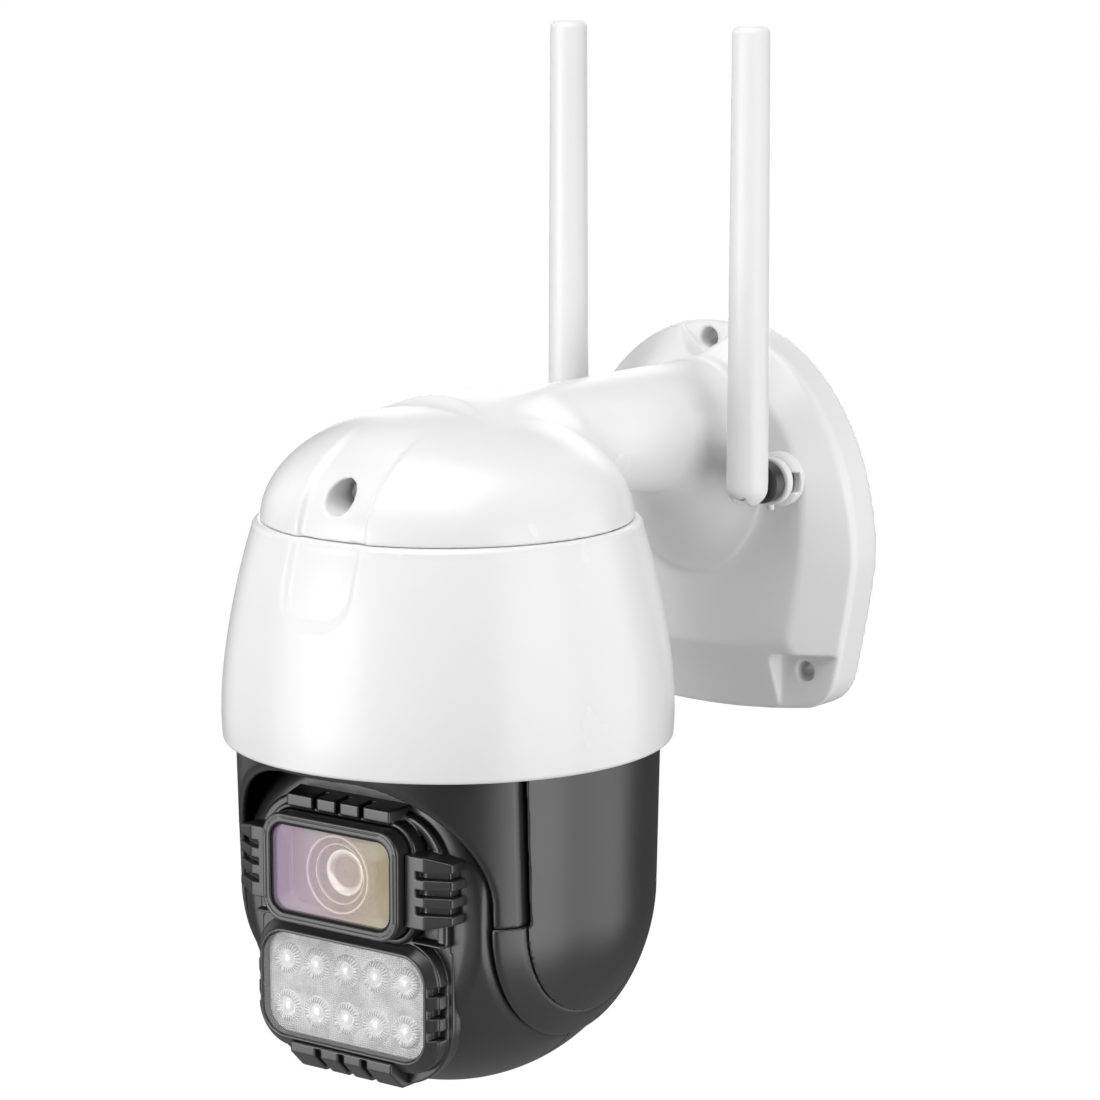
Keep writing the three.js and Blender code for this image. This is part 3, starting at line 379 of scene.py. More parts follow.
# %% The lathe
def lathe(name, outline, steps, place=(0, 0, 0), axis="Z", push=None):
    """Sweeps a closed outline of (radius, height) points round Z, or round Y with heights to the front."""
    outline = np.asarray(outline, float)
    angles = np.linspace(0, 2 * math.pi, steps, endpoint=False)
    radius = np.repeat(outline[None, :, 0], steps, 0)
    height = np.repeat(outline[None, :, 1], steps, 0)
    angle = np.repeat(angles[:, None], len(outline), 1)
    if push is not None:
        radius = radius + push(radius, height, angle)
    points = np.stack([radius * np.sin(angle), -radius * np.cos(angle), height], 2).reshape(-1, 3)
    count = len(outline)
    around = np.arange(steps)[:, None] * count
    ahead = (np.arange(steps)[:, None] + 1) % steps * count
    this = np.arange(count)[None, :]
    after = (this + 1) % count
    faces = np.stack([around + this, ahead + this, ahead + after, around + after], 2).reshape(-1, 4)
    if axis == "Y":
        points = np.stack([points[:, 0], -points[:, 2], points[:, 1]], 1)
    return mesh_object(name, points, faces, place)


def arc(centre, radius, start, end, steps=6):
    """Points on a circle's arc between two angles in degrees."""
    angles = np.radians(np.linspace(start, end, steps + 1))
    return [(centre[0] + radius * math.cos(a), centre[1] + radius * math.sin(a)) for a in angles]


# %% [markdown]
# ## Finishes
# Moulded plastic is never one flat colour. The tool leaves a fine grain that breaks up highlights, handling
# polishes proud edges a little, and dust dulls hollows. Each finish below has a grain in its bump, a slow
# drift in its colour and roughness, and a lift along sharp edges where the piece has been rubbed.

# %% Helpers for finishes
def noise(place, scale, detail):
    """A noise texture over the piece's own coordinates."""
    node = add_node(place.id_data, "ShaderNodeTexNoise", Scale=scale, Detail=detail)
    link(place, "Object", node, "Vector")
    return node


def remap(source, output, low, high, to_low, to_high):
    """The source's range from low to high, spread from to_low to to_high."""
    node = add_node(source.id_data, "ShaderNodeMapRange")
    for key, value in zip(("From Min", "From Max", "To Min", "To Max"), (low, high, to_low, to_high)):
        node.inputs[key].default_value = value
    link(source, output, node, "Value")
    return node


def bump(source, output, shader, strength, distance):
    node = add_node(shader.id_data, "ShaderNodeBump", Strength=strength, Distance=distance)
    link(source, output, node, "Height")
    link(node, "Normal", shader, "Normal")


def moulded(name, colour, roughness, grain, drift, grain_scale=1400.0, edge=0.0, specular=0.5,
            metallic=0.0):
    """A moulded plastic: grain, a slow drift of shade and gloss, and edges rubbed lighter."""
    material, shader = new_material(name, {"Specular IOR Level": specular, "Metallic": metallic})
    tree = shader.id_data
    place = add_node(tree, "ShaderNodeTexCoord")
    slow = noise(place, 35.0, 3.0)
    fine = noise(place, grain_scale, 2.0)
    shade = ramp(tree, [(0.2, [channel * (1 - drift) for channel in colour]),
                        (0.8, [min(1, channel * (1 + drift)) for channel in colour])])
    link(slow, "Fac", shade, "Fac")
    link(shade, "Color", shader, "Base Color")
    if edge:
        shape = add_node(tree, "ShaderNodeNewGeometry")
        worn = remap(shape, "Pointiness", 0.52, 0.6, 0.0, edge)
        rubbed = [min(1, channel * 3 + 0.02) for channel in colour]
        mix = add_node(tree, "ShaderNodeMixRGB", Color2=(*rubbed, 1))
        link(worn, "Result", mix, "Fac")
        link(shade, "Color", mix, "Color1")
        link(mix, "Color", shader, "Base Color")
    gloss = remap(slow, "Fac", 0.0, 1.0, roughness * 0.88, roughness * 1.12)
    link(gloss, "Result", shader, "Roughness")
    bump(fine, "Fac", shader, grain, 0.0002)
    return material


# %% [markdown]
# The two plastics that make up the outside: a glossy white, as on kitchen appliances, and a satin charcoal.
# The rest are for what shows through a gap or from behind.

# %% The finishes themselves
white_gloss = moulded("white_gloss", (0.80, 0.80, 0.80), 0.26, grain=0.02, drift=0.003)
white_satin = moulded("white_satin", (0.80, 0.80, 0.80), 0.38, grain=0.03, drift=0.004)
BLACK = (0.019, 0.019, 0.0195)
charcoal = moulded("charcoal", BLACK, 0.33, grain=0.05, drift=0.06, edge=0.12, specular=0.8)
charcoal_fine = moulded("charcoal_fine", BLACK, 0.33, grain=0.05, drift=0.06, edge=0.1, specular=0.9)
grey_inner = moulded("grey_inner", (0.20, 0.20, 0.21), 0.55, grain=0.08, drift=0.06)
seal_rubber = moulded("seal_rubber", (0.012, 0.012, 0.013), 0.8, grain=0.15, drift=0.1)
board_green = moulded("board_green", (0.02, 0.13, 0.06), 0.4, grain=0.1, drift=0.2)
gear_nylon = moulded("gear_nylon", (0.72, 0.69, 0.60), 0.5, grain=0.05, drift=0.05)


def metal(name, colour, roughness):
    """Plated metal: the moulded recipe with a metal's reflection and a coarser, scratchier grain."""
    return moulded(name, colour, roughness, grain=0.12, drift=0.08, grain_scale=600.0, metallic=1.0)


zinc_steel = metal("zinc_steel", (0.56, 0.57, 0.58), 0.35)
print("plastics, rubber and metal are mixed")

# %% [markdown]
# Every piece is dressed in the same way: it takes its finish, rides on its joint's body, and the frame
# nodes that it stands for are hidden.

# %% Booking a piece
def dress(piece, material, body, slot, *nodes):
    piece.data.materials.clear()
    piece.data.materials.append(material)
    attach(piece, body)
    if nodes:
        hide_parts(*nodes)
    return piece


# %% [markdown]
# ## The wall bracket
# Plate, arm and cap are one moulding. The plate is a shield with an oval top and sides that draw in towards
# the foot; its face climbs from the rim to a raised panel, and three pockets are sunk back to rim level for
# the wall screws. The arm grows out of an upright oval root, runs level, and melts into the cap.

# %% Sizes of the plate
PLATE_HALF = highest("bracket_shell")[0]
PLATE_TOP = highest("bracket_shell")[2]
PLATE_FOOT = lowest("bracket_shell")[2]
PLATE_WIDEST = -10.6
PLATE_WALL = 2.3
RIM_THICK = 12.5
PANEL_THICK = 21.3
FOOT_SLOPE = 0.395
HOLE_R = 3.2
HOLE_TOP_Z = 54.9
HOLE_LOW = (36.9, -46.2)


def plate_side(x, z):
    """Distance outside the plate's top and sides, seen from the front."""
    up = z - PLATE_WIDEST
    top = oval(x, up, PLATE_HALF, PLATE_TOP - PLATE_WIDEST)
    down = np.maximum(-up, 0)
    half_width = PLATE_HALF - 0.0713 * down ** 1.25
    side = (np.abs(x) - half_width) / np.sqrt(1 + (0.089 * down ** 0.25) ** 2)
    return np.where(up > 0, top, side)


def plate_foot(x, z):
    return PLATE_FOOT + 1.2 * (x / 24) ** 2 - z


def plate_outline(x, z, inset=0.0):
    return meet(plate_side(x, z) + inset, plate_foot(x, z) + inset, 8 - inset)


def plate_form(x, y, z):
    side, foot = plate_side(x, z), plate_foot(x, z)
    climb = PANEL_THICK - RIM_THICK
    steep = climb / np.interp(z, [-29, -7, 15, 30], [14.7, 14.1, 9.8, 9.8])
    from_side = (-y - RIM_THICK + steep * side) / np.sqrt(1 + steep ** 2)
    from_foot = (-y - RIM_THICK + FOOT_SLOPE * foot) / math.hypot(1, FOOT_SLOPE)
    face = meet(meet(from_side, from_foot, 0.8), -y - PANEL_THICK, 0.7)
    return meet(meet(plate_outline(x, z), face, 1.4), y + 0.01, 0.3)


def screw_pockets(x, y, z):
    """The three sinkings, whose floors lie at rim level."""
    wedge = np.sqrt(x * x + 9) * 0.74 - (z - 46.6) * 0.67
    corner = meet(28.0 - np.abs(x), z + 40.2, 3.5)
    return meet(np.minimum(wedge, corner), y + RIM_THICK, 0.0)


def screw_holes(x, z):
    low = np.hypot(np.abs(x) - HOLE_LOW[0], z - HOLE_LOW[1])
    return np.minimum(np.hypot(x, z - HOLE_TOP_Z), low) - HOLE_R


# %% [markdown]
# The arm's section is an oval whose upper line stays level. At the plate it is 51 mm wide and 67 mm high;
# within a few centimetres it has become a round of 20 mm radius that slims to 16.5 mm at the dome.

# %% Arm and cap
SKIRT_H = 63.2
SEAM_Z = RIM_Z + SKIRT_H
SEAM_GAP = 0.12
CAP_R = 53.3
CAP_H = 32.4
ARM_TOP = SEAM_Z + CAP_H
ROOT_Z = 14.4
ROOT_HALF = (26.5, 31.0)
ARM_TO_CAP = 9.0
CHANNEL_HALF = 11.7
CHANNEL_SOFT = 1.1
CHANNEL_FOOT = RIM_Z + 40.5
CHANNEL_FOOT_R = 9.0
CHANNEL_DEEP = {"cap": 1.6, "skirt": 1.4}
WELL_Z = SEAM_Z + 11.5
WELL_R = 4.85


def arm_form(x, y, z):
    out = -y - PANEL_THICK
    flare = np.clip(1 - out / 24, 0, 1) ** 2.2
    radius = np.interp(-y, [34, 83, 100], [20, 16.5, 16.5])
    half_width = radius + 5.5 * flare
    half_height = radius + 13.5 * flare
    section = oval(x, z - (ARM_TOP - half_height), half_width, half_height)
    return np.maximum(section, np.maximum(y + 14, DOME_Y - y))


def channel(x, z, y_from_axis):
    """How deep the shallow front channel is here, from 0 to 1: it has soft sides and a round foot."""
    side = np.abs(x) - CHANNEL_HALF + CHANNEL_FOOT_R
    edge = round_corner(side, CHANNEL_FOOT + CHANNEL_FOOT_R - z, CHANNEL_FOOT_R)
    return (1 - fade(edge, -CHANNEL_SOFT, CHANNEL_SOFT)) * (y_from_axis < 0)


def cap_form(x, y, z):
    across, up = np.hypot(x, y - DOME_Y), z - SEAM_Z
    form = oval(across, up, CAP_R, CAP_H)
    runs_out = 1 - fade(z, SEAM_Z + 20, ARM_TOP - 3.5)
    sink = CHANNEL_DEEP["cap"] * channel(x, z, y - DOME_Y) * runs_out
    return meet(form + sink, SEAM_Z + SEAM_GAP - z, 0.35)


def bracket_form(x, y, z):
    plate = cut(plate_form(x, y, z), screw_pockets(x, y, z), 0.6)
    root = meet(oval(x, z - ROOT_Z, *ROOT_HALF), between(y, -PANEL_THICK - 1.3, -10.0), 0.6)
    plate = join(plate, root, 0.4)
    plate = cut(plate, screw_holes(x, z), 0.5)
    body = join(plate, arm_form(x, y, z), 2.5)
    under_cap = np.maximum(np.hypot(x, y - DOME_Y) - 57.5, z - SEAM_Z - SEAM_GAP)
    body = cut(body, under_cap)
    body = join(body, cap_form(x, y, z), ARM_TO_CAP)
    body = cut(body, under_cap)
    screw_well = np.maximum(np.hypot(x, z - WELL_Z) - WELL_R, y - DOME_Y + 29)
    body = cut(body, screw_well, 0.6)
    rear = np.maximum(plate_outline(x, z, PLATE_WALL), -2.4 - y)
    return cut(body, rear)


FINE = 0.8
THIN = 0.62
bracket = carve("bracket_moulding", bracket_form, (-PLATE_HALF, DOME_Y - CAP_R, PLATE_FOOT),
                (PLATE_HALF, 0.0, PLATE_TOP), FINE * 1.05)
dress(bracket, white_gloss, "bracket", "white_plastic", "bracket_shell")

# %% [markdown]
# The back of the plate is closed by a flat grey cover, let in flush, with a round hole for the cable.

# %% Rear cover
CABLE_HOLE_Z = (lowest("cable_grommet")[2] + highest("cable_grommet")[2]) / 2
COVER_SCREWS = [(-40, 22), (40, 22), (-24, -50), (24, -50)]


def rear_cover_form(x, y, z):
    panel = meet(plate_outline(x, z, PLATE_WALL + 0.4), between(y, -2.2, -0.02), 0.3)
    rib = np.abs(plate_outline(x, z, 9.0)) - 0.6
    panel = cut(panel, np.maximum(rib, -0.5 - y), 0.2)
    panel = cut(panel, screw_holes(x, z), 0.2)
    panel = cut(panel, np.hypot(x, z - CABLE_HOLE_Z) - 7.0, 0.2)
    for sx, sz in COVER_SCREWS:
        away = np.hypot(x - sx, z - sz)
        panel = cut(panel, away - 1.8)
        panel = cut(panel, np.maximum(away - 3.5, -1.3 - y), 0.15)
    return panel


cover = carve("rear_cover_panel", rear_cover_form, (-PLATE_HALF, -2.3, PLATE_FOOT),
              (PLATE_HALF, 0.0, PLATE_TOP), THIN)
dress(cover, grey_inner, "bracket", "grey_plastic", "rear_cover")

# %% [markdown]
# ## The skirt
# Below the seam hangs the white skirt, widest near its rim. The lathe sweeps its section, a wall of 2.4 mm
# with a rolled rim, and the channel of the cap runs on down its front.

# %% Turn the skirt
SKIRT_WALL = 2.4
TOP_ROUND = 2.0
RIM_ROUND = 1.2
SKIRT_OUTLINE = [(0.0, 64.6), (10.7, 65.0), (27.7, 63.35), (44.6, 60.2), (53.0, 58.1), (62.6, 55.3)]


def through(points, values, order=4):
    """A smooth curve through a few measured points."""
    points = np.asarray(points, float)
    return np.polyval(np.polyfit(points[:, 0], points[:, 1], order), values)


rise = np.linspace(1.4, SKIRT_H - TOP_ROUND, 46)
outer = list(zip(through(SKIRT_OUTLINE, rise), rise))
top_edge = arc((outer[-1][0] - TOP_ROUND, SKIRT_H - TOP_ROUND), TOP_ROUND, 12, 90, 7)
rim_edge = arc((outer[0][0] - RIM_ROUND, RIM_ROUND), RIM_ROUND, 180, 360, 10)
inner = [(radius - SKIRT_WALL, up) for radius, up in outer[::-1][2::2]]
skirt_section = outer + top_edge + [(CAP_R - 3.2, SKIRT_H)] + inner + rim_edge
skirt_section = [(radius, up + RIM_Z) for radius, up in skirt_section]


def press_channel(radius, height, angle):
    outside = radius > np.interp(height - RIM_Z, [0, 30, 58, SKIRT_H], [63.2, 61.5, 55.0, 52.9])
    return -CHANNEL_DEEP["skirt"] * channel(radius * np.sin(angle), height, -np.cos(angle)) * outside


skirt = lathe("skirt_moulding", skirt_section, 420, (0, DOME_Y, 0), push=press_channel)
dress(skirt, white_gloss, "bracket", "white_plastic", "skirt_shell")
print("skirt", len(skirt.data.vertices), "vertices")

# %% [markdown]
# ## The black head
# The turning head is a ball-nosed drum. Below the tilt axis it is part of a sphere, above it a drum that
# disappears into the skirt. It is split as the real one is: a yoke with an arch at front and back, a pair
# of U-shaped bands under it, and a smooth cover on each side.

# %% Forms of the head
HEAD_R = 60.1
DRUM_DRAFT = 0.0212
HEAD_WALL = 3.2
HEAD_TOP = highest("yoke_shell")[2] - TILT_Z
ARCH_HALF = 44.9
ARCH_TOP = 39.75
ARCH_FOOT = -60
ARCH_ROUND = 34
COVER_EDGE = 51.4
COVER_TOP = highest("side_cover_right")[2] - TILT_Z
CHEEK = (44.7, 46.8)


def sphere(x, y, z, radius):
    return np.sqrt(x * x + y * y + z * z) - radius


def head_outside(x, y, z):
    drum = np.hypot(x, y) - HEAD_R - DRUM_DRAFT * z
    return np.where(z < 0, sphere(x, y, z, HEAD_R), drum)


def head_shell(x, y, z):
    outside = head_outside(x, y, z)
    return np.maximum(outside, -outside - HEAD_WALL)


def cheek_wall(x, y, z):
    return np.maximum(between(np.abs(x), *CHEEK), np.maximum(head_outside(x, y, z) + 2.0, z - COVER_TOP))


def arch(x, z):
    """The opening in which the ball sits, seen from the front."""
    middle, half_height = (ARCH_TOP + ARCH_FOOT) / 2, (ARCH_TOP - ARCH_FOOT) / 2
    return round_rectangle(x, z - middle, ARCH_HALF, half_height, ARCH_ROUND)


def yoke_form(x, y, z):
    shell = cut(head_shell(x, y, z), arch(x, z), 2.6)
    for_cover = np.maximum(COVER_EDGE - 0.95 - np.abs(x), z - COVER_TOP - 0.3)
    shell = cut(shell, for_cover, 0.25)
    shell = join(shell, cheek_wall(x, y, z))
    return meet(shell, between(z, 0.12, HEAD_TOP), 0.25)


def band_form(x, y, z):
    strip = meet(head_shell(x, y, z), CHEEK[0] - x, 2.4)
    strip = meet(strip, x - COVER_EDGE + 0.12, 0.4)
    strip = join(strip, np.maximum(cheek_wall(x, y, z), -x))
    return meet(strip, z + 0.12, 0.25)


def cover_form(x, y, z):
    edge = COVER_EDGE + 0.1 + 0.4 * fade(z, -0.3, 0.3)
    shell = meet(head_shell(x, y, z), edge - x, 0.45)
    return meet(shell, z - COVER_TOP, 0.5)


yoke = carve("yoke_moulding", yoke_form, (-61.5, -61.5, 0), (61.5, 61.5, HEAD_TOP), FINE, HEAD)
dress(yoke, charcoal, "pan_head", "black_plastic", "yoke_shell")


def mirrored(piece, name):
    """A copy on the other side of the middle plane, with its faces still pointing out."""
    twin = put(name, piece.data.copy())
    twin.data.transform(Matrix.Diagonal((-1, 1, 1, 1)))
    twin.data.flip_normals()
    return twin


def pair(name, rule, low, high, step, material, body, slot, node, place=HEAD):
    """Carves the right-hand piece and mirrors it; a {} in a name stands for the hand."""
    right = carve(name.format("right"), rule, low, high, step, place)
    left = mirrored(right, name.format("left"))
    for piece, hand in ((right, "right"), (left, "left")):
        dress(piece, material, body.format(hand), slot, node.format(hand))


pair("yoke_band_moulding_{}", band_form, (44, -61, -61), (52, 61, 0.2), THIN,
     charcoal, "pan_head", "black_plastic", "yoke_band_{}")
pair("side_cover_moulding_{}", cover_form, (51, -34, -34), (61.5, 34, COVER_TOP), THIN,
     charcoal, "pan_head", "black_plastic", "side_cover_{}")

# %% [markdown]
# The ball turns between the cheeks. It is moulded in two halves, with a fine parting line, and its front
# is cut flat for the lens and lamp unit.

# %% The ball
BALL_R = 58.78
BALL_HALF = 44.0
BALL_FLAT = 42.0


def ball_form(x, y, z):
    ball = meet(sphere(x, y, z, BALL_R), np.abs(x) - BALL_HALF, 1.5)
    return meet(ball, -y - BALL_FLAT, 2.5)


def ball_piece(name, rule, low, high, step, material, slot, node):
    """Carves a piece that tilts with the ball."""
    dress(carve(name, rule, low, high, step, HEAD), material, "tilt_ball", slot, node)


for side, sign, start, end in (("front", 1, -43, 0), ("rear", -1, 0, 59)):
    ball_piece(f"ball_{side}_moulding", lambda x, y, z: meet(ball_form(x, y, z), sign * y + 0.08, 0.35),
               (-BALL_HALF, start, -59), (BALL_HALF, end, 59), FINE, charcoal, "black_plastic",
               f"ball_{side}_shell")

# %% [markdown]
# ## The front of the ball
# A face plate carries everything: an arched rim over the lens unit, a collar round it, a toothed ear on
# each side and a row of fins on top, both of which read as heat sinks, and a flat shield for the lamps.

# %% The face plate
FACE_FRONT = -46.2
FACE_HALF = 33.0
FACE_TOP = 30.35
FACE_FOOT = -48.65
LENS_UNIT_Z = 11.0
LAMP_Z = -24.75
LAMP_HALF = (29.3, 15.1)
LAMP_CORNER = 7.8
EAR_LOW, EAR_HIGH = 0.05, 20.65
EAR_MIDDLE = (EAR_LOW + EAR_HIGH) / 2
EAR_FRONT = -51.0
EAR_SHOULDER = 31.2
EAR_PITCH = 5.0
SLOT_HALF = 1.08
SLOT_DEEP = 2.4
FIN_HALF = 18.4
FIN_FRONT = -50.0
FIN_PITCH = 8.4
NOTCH_PITCH = 6.3


def face_outline(x, z, grow=0.0):
    """The shield: a rounded arch above, wide round corners below."""
    middle, half_height = (FACE_TOP + FACE_FOOT) / 2, (FACE_TOP - FACE_FOOT) / 2
    upper = round_rectangle(x, z - middle, FACE_HALF + 1 + grow, half_height + grow, 16 + grow)
    lower = round_rectangle(x, z - middle, FACE_HALF + 1.6 + grow, half_height + grow, 20 + grow)
    return np.where(z > -8, upper, lower)


def lens_rectangle(x, z, half_width, half_height, radius):
    return round_rectangle(x, z - LENS_UNIT_Z, half_width, half_height, radius)


def lamp_outline(x, z):
    return round_rectangle(x, z - LAMP_Z, LAMP_HALF[0], LAMP_HALF[1], LAMP_CORNER)


def slotted(block, front, along, across, start, tip, pitch):
    """Cuts three slots of even depth that follow the block's front and run out through its tip."""
    for step in (-1, 0, 1):
        level = np.abs(across - step * pitch) - SLOT_HALF
        slot = np.maximum(np.maximum(level, start - along), -front - SLOT_DEEP)
        notch = np.maximum(level, tip - along)
        block = cut(block, np.minimum(slot, notch), 0.1)
    return block


def ear_form(x, y, z):
    side = np.abs(x)
    slant = ((side - EAR_SHOULDER) * 3.7 - (y - EAR_FRONT) * 7.3) / math.hypot(3.7, 7.3)
    front = meet(EAR_FRONT - y, slant, 0.25)
    block = meet(meet(between(side, 24.0, 38.5), y + 41.0, 0.3), front, 0.3)
    taper = np.maximum(side - EAR_SHOULDER, 0) * 0.22
    block = meet(block, np.abs(z - EAR_MIDDLE) - (EAR_HIGH - EAR_LOW) / 2 + taper, 0.35)
    return slotted(block, front, side, z - EAR_MIDDLE, 28.5, 36.6, EAR_PITCH)


def fin_form(x, y, z):
    top = (z - 31.6 - 0.1 * (y - FIN_FRONT)) / math.hypot(1, 0.1)
    block = meet(np.abs(x) - FIN_HALF - 0.25 * (y - FIN_FRONT), between(y, FIN_FRONT, -41.5), 0.25)
    block = meet(meet(block, top, 0.3), 28.0 - z, 0.25)
    for step in (-1, 0, 1):
        slot = np.maximum(np.abs(x - step * FIN_PITCH) - 0.9, y + 44.0)
        block = cut(block, slot, 0.1)
    return block


def lamp_notches(x, y, z, back):
    """Three notches in each side of the lamp unit, open to the outside."""
    level = z - LAMP_Z
    nearest = np.abs(level - NOTCH_PITCH * np.clip(np.round(level / NOTCH_PITCH), -1, 1))
    return np.maximum(np.maximum(nearest - 1.3, 30.4 - np.abs(x)), y + back)


def face_form(x, y, z):
    rim = meet(face_outline(x, z), between(y, -44.6, -40.5), 1.2)
    rim = cut(rim, meet(face_outline(x, z, -3.2), y + 42.6), 0.8)
    shield = meet(meet(face_outline(x, z), between(y, FACE_FRONT, -38.0), 0.9), z + 5.0, 0.8)
    face = join(rim, shield, 0.4)
    collar = lens_rectangle(x, z, 26.4, 17.4, 8.5)
    face = join(face, meet(collar, between(y, -48.6, -41.0), 0.8), 0.6)
    face = join(face, ear_form(x, y, z), 0.35)
    face = join(face, fin_form(x, y, z))
    well = lens_rectangle(x, z, 24.8, 16.05, 7.3)
    face = cut(face, np.maximum(well, y + 44.9), 0.3)
    face = cut(face, np.maximum(lamp_outline(x, z) - 0.4, y + 43.4), 0.3)
    step_back = np.maximum(np.maximum(3.9 - lamp_outline(x, z), z + 6.0), y + 42.4)
    face = cut(face, step_back, 0.4)
    return cut(face, lamp_notches(x, y, z, 43.0), 0.12)


SMALL = 0.4
ball_piece("face_plate_moulding", face_form, (-39, -51.5, -49.5), (39, -37.5, 34), SMALL,
           charcoal_fine, "black_plastic", "face_plate")

# %% [markdown]
# The lens sits in a deep bezel behind coated glass. The coating's coloured reflection, violet at one side
# and gold at the other, is painted into the glass's colour as a tint that runs across the window. A soft seal
# holds the pane, which is built from rings of its outline, as a carved mesh would blur its thin edge.

# %% Bezel, seal and window
GLASS_HALF = (21.4, 12.7)


def glass_edge(x, z, grow, radius):
    return lens_rectangle(x, z, GLASS_HALF[0] + grow, GLASS_HALF[1] + grow, radius)


def bezel_form(x, y, z):
    block = meet(lens_rectangle(x, z, 24.5, 15.75, 7.0), between(y, -54.0, -45.1), 0.7)
    block = cut(block, glass_edge(x, z, 0.35, 5.0), 0.25)
    groove = np.abs(lens_rectangle(x, z, 23.3, 14.55, 6.0)) - 0.12
    block = cut(block, np.maximum(groove, y + 53.6), 0.1)
    seat = lens_rectangle(x, z, 22.5, 13.8, 5.4)
    return cut(block, np.maximum(seat, -51.2 - y), 0.1)


def seal_form(x, y, z):
    ring = meet(glass_edge(x, z, 0.3, 4.9), between(y, -53.35, -51.6), 0.3)
    return cut(ring, glass_edge(x, z, -0.4, 4.2), 0.3)


ball_piece("camera_bezel_moulding", bezel_form, (-25, -54.5, -5), (25, -45, 27.5), SMALL,
           charcoal_fine, "black_plastic", "camera_bezel")
ball_piece("window_seal", seal_form, (-22.5, -53.6, -3), (22.5, -51, 25), 0.34,
           seal_rubber, "rubber_seal", "window_gasket")


def ring_quads(rings, count):
    """Faces between rings of points that follow one another."""
    ring = np.arange(rings - 1)[:, None] * count
    this = np.arange(count)[None, :]
    after = (this + 1) % count
    ahead = ring + count
    return np.stack([ring + this, ring + after, ahead + after, ahead + this], 2).reshape(-1, 4)


def pane(name, half_width, half_height, radius, middle_z, front, back):
    """A flat pane with rounded corners and eased edges, built from rings of an outline."""
    outline = []
    for index, (sx, sz) in enumerate(((1, 1), (-1, 1), (-1, -1), (1, -1))):
        corner = (sx * (half_width - radius), sz * (half_height - radius))
        outline += arc(corner, radius, 90 * index, 90 * index + 90, 8)
    outline = np.array(outline)
    inner, eased = 0.55 * outline, outline - 0.16 * np.sign(outline)
    rings = [(inner, front), (eased, front), (outline, front + 0.15),
             (outline, back - 0.15), (eased, back), (inner, back)]
    rows = [np.stack([ring[:, 0], np.full(len(ring), y), ring[:, 1] + middle_z], 1) for ring, y in rings]
    count = len(outline)
    front_hub = len(rows) * count
    last = front_hub - count
    caps = []
    for i in range(0, count, 2):
        j, k = i + 1, (i + 2) % count
        caps += [(front_hub, k, j, i), (front_hub + 1, last + i, last + j, last + k)]
    points = np.concatenate(rows + [[[0, front, middle_z], [0, back, middle_z]]])
    faces = np.concatenate([ring_quads(len(rows), count), caps])
    return mesh_object(name, points, faces[:, ::-1], HEAD)


coated, coated_shader = new_material("coated_glass", {"Alpha": 0.28, "IOR": 1.5})
place = add_node(coated.node_tree, "ShaderNodeTexCoord")
split = add_node(coated.node_tree, "ShaderNodeSeparateXYZ")
link(place, "Object", split, "Vector")
# Painted reflection: the coating's violet-to-gold sheen is laid into the base colour as a gradient from one side
# of the window to the other.
across = remap(split, "X", -GLASS_HALF[0] * MM, GLASS_HALF[0] * MM, 0.0, 1.0)
tint_with_painted_light = ramp(coated.node_tree, [(0.0, (0.68, 0.50, 0.76)), (0.3, (0.94, 0.76, 0.86)),
                               (0.6, (0.94, 0.79, 0.72)), (1.0, (1.0, 0.88, 0.58))])
link(across, "Result", tint_with_painted_light, "Fac")
link(tint_with_painted_light, "Color", coated_shader, "Base Color")
smear = noise(place, 60.0, 2.0)
link(remap(smear, "Fac", 0.0, 1.0, 0.02, 0.06), "Result", coated_shader, "Roughness")

window = pane("camera_window_glass", GLASS_HALF[0] + 0.2, GLASS_HALF[1] + 0.2, 4.8,
              LENS_UNIT_Z, -53.1, -51.9)
dress(window, coated, "tilt_ball", "tinted_glass", "camera_window")
print("bezel, seal and window are in place")

# %% [markdown]
# The chamber behind the glass is a shallow tray whose pale walls catch the light. The lens stands in it:
# a black barrel with a funnel-shaped mouth, and two thin bright rings.

# %% Chamber and barrel
LENS_Z = 10.8
LENS_PLACE = (0, DOME_Y, TILT_Z + LENS_Z)
chamber_paint = moulded("chamber_paint", (0.72, 0.66, 0.68), 0.5, grain=0.04, drift=0.04)
lens_black = moulded("lens_black", (0.04, 0.025, 0.025), 0.2, grain=0.004, drift=0.05)
ring_white = moulded("ring_white", (1.0, 0.97, 0.97), 0.3, grain=0.02, drift=0.01)


def chamber_form(x, y, z):
    outer, inner = lens_rectangle(x, z, 21.8, 13.1, 4.8), lens_rectangle(x, z, 21.0, 12.3, 4.0)
    tray = cut(meet(outer, between(y, -51.2, -43.3), 0.2), np.maximum(inner, y + 44.8), 0.4)
    return cut(tray, np.hypot(x, z - LENS_Z) - 9.3, 0.1)


def lens_turning(name, outline, material, slot, *nodes):
    """Turns a piece on the lens's own axis; heights run towards the front."""
    dress(lathe(name, outline, 96, LENS_PLACE, axis="Y"), material, "tilt_ball", slot, *nodes)


def ring_outline(inner_r, outer_r, back, front, ease):
    """A turned ring's section with eased front edges."""
    return ([(inner_r, back), (outer_r, back)] + arc((outer_r - ease, front - ease), ease, 0, 90, 3)
            + arc((inner_r + ease, front - ease), ease, 90, 180, 3))


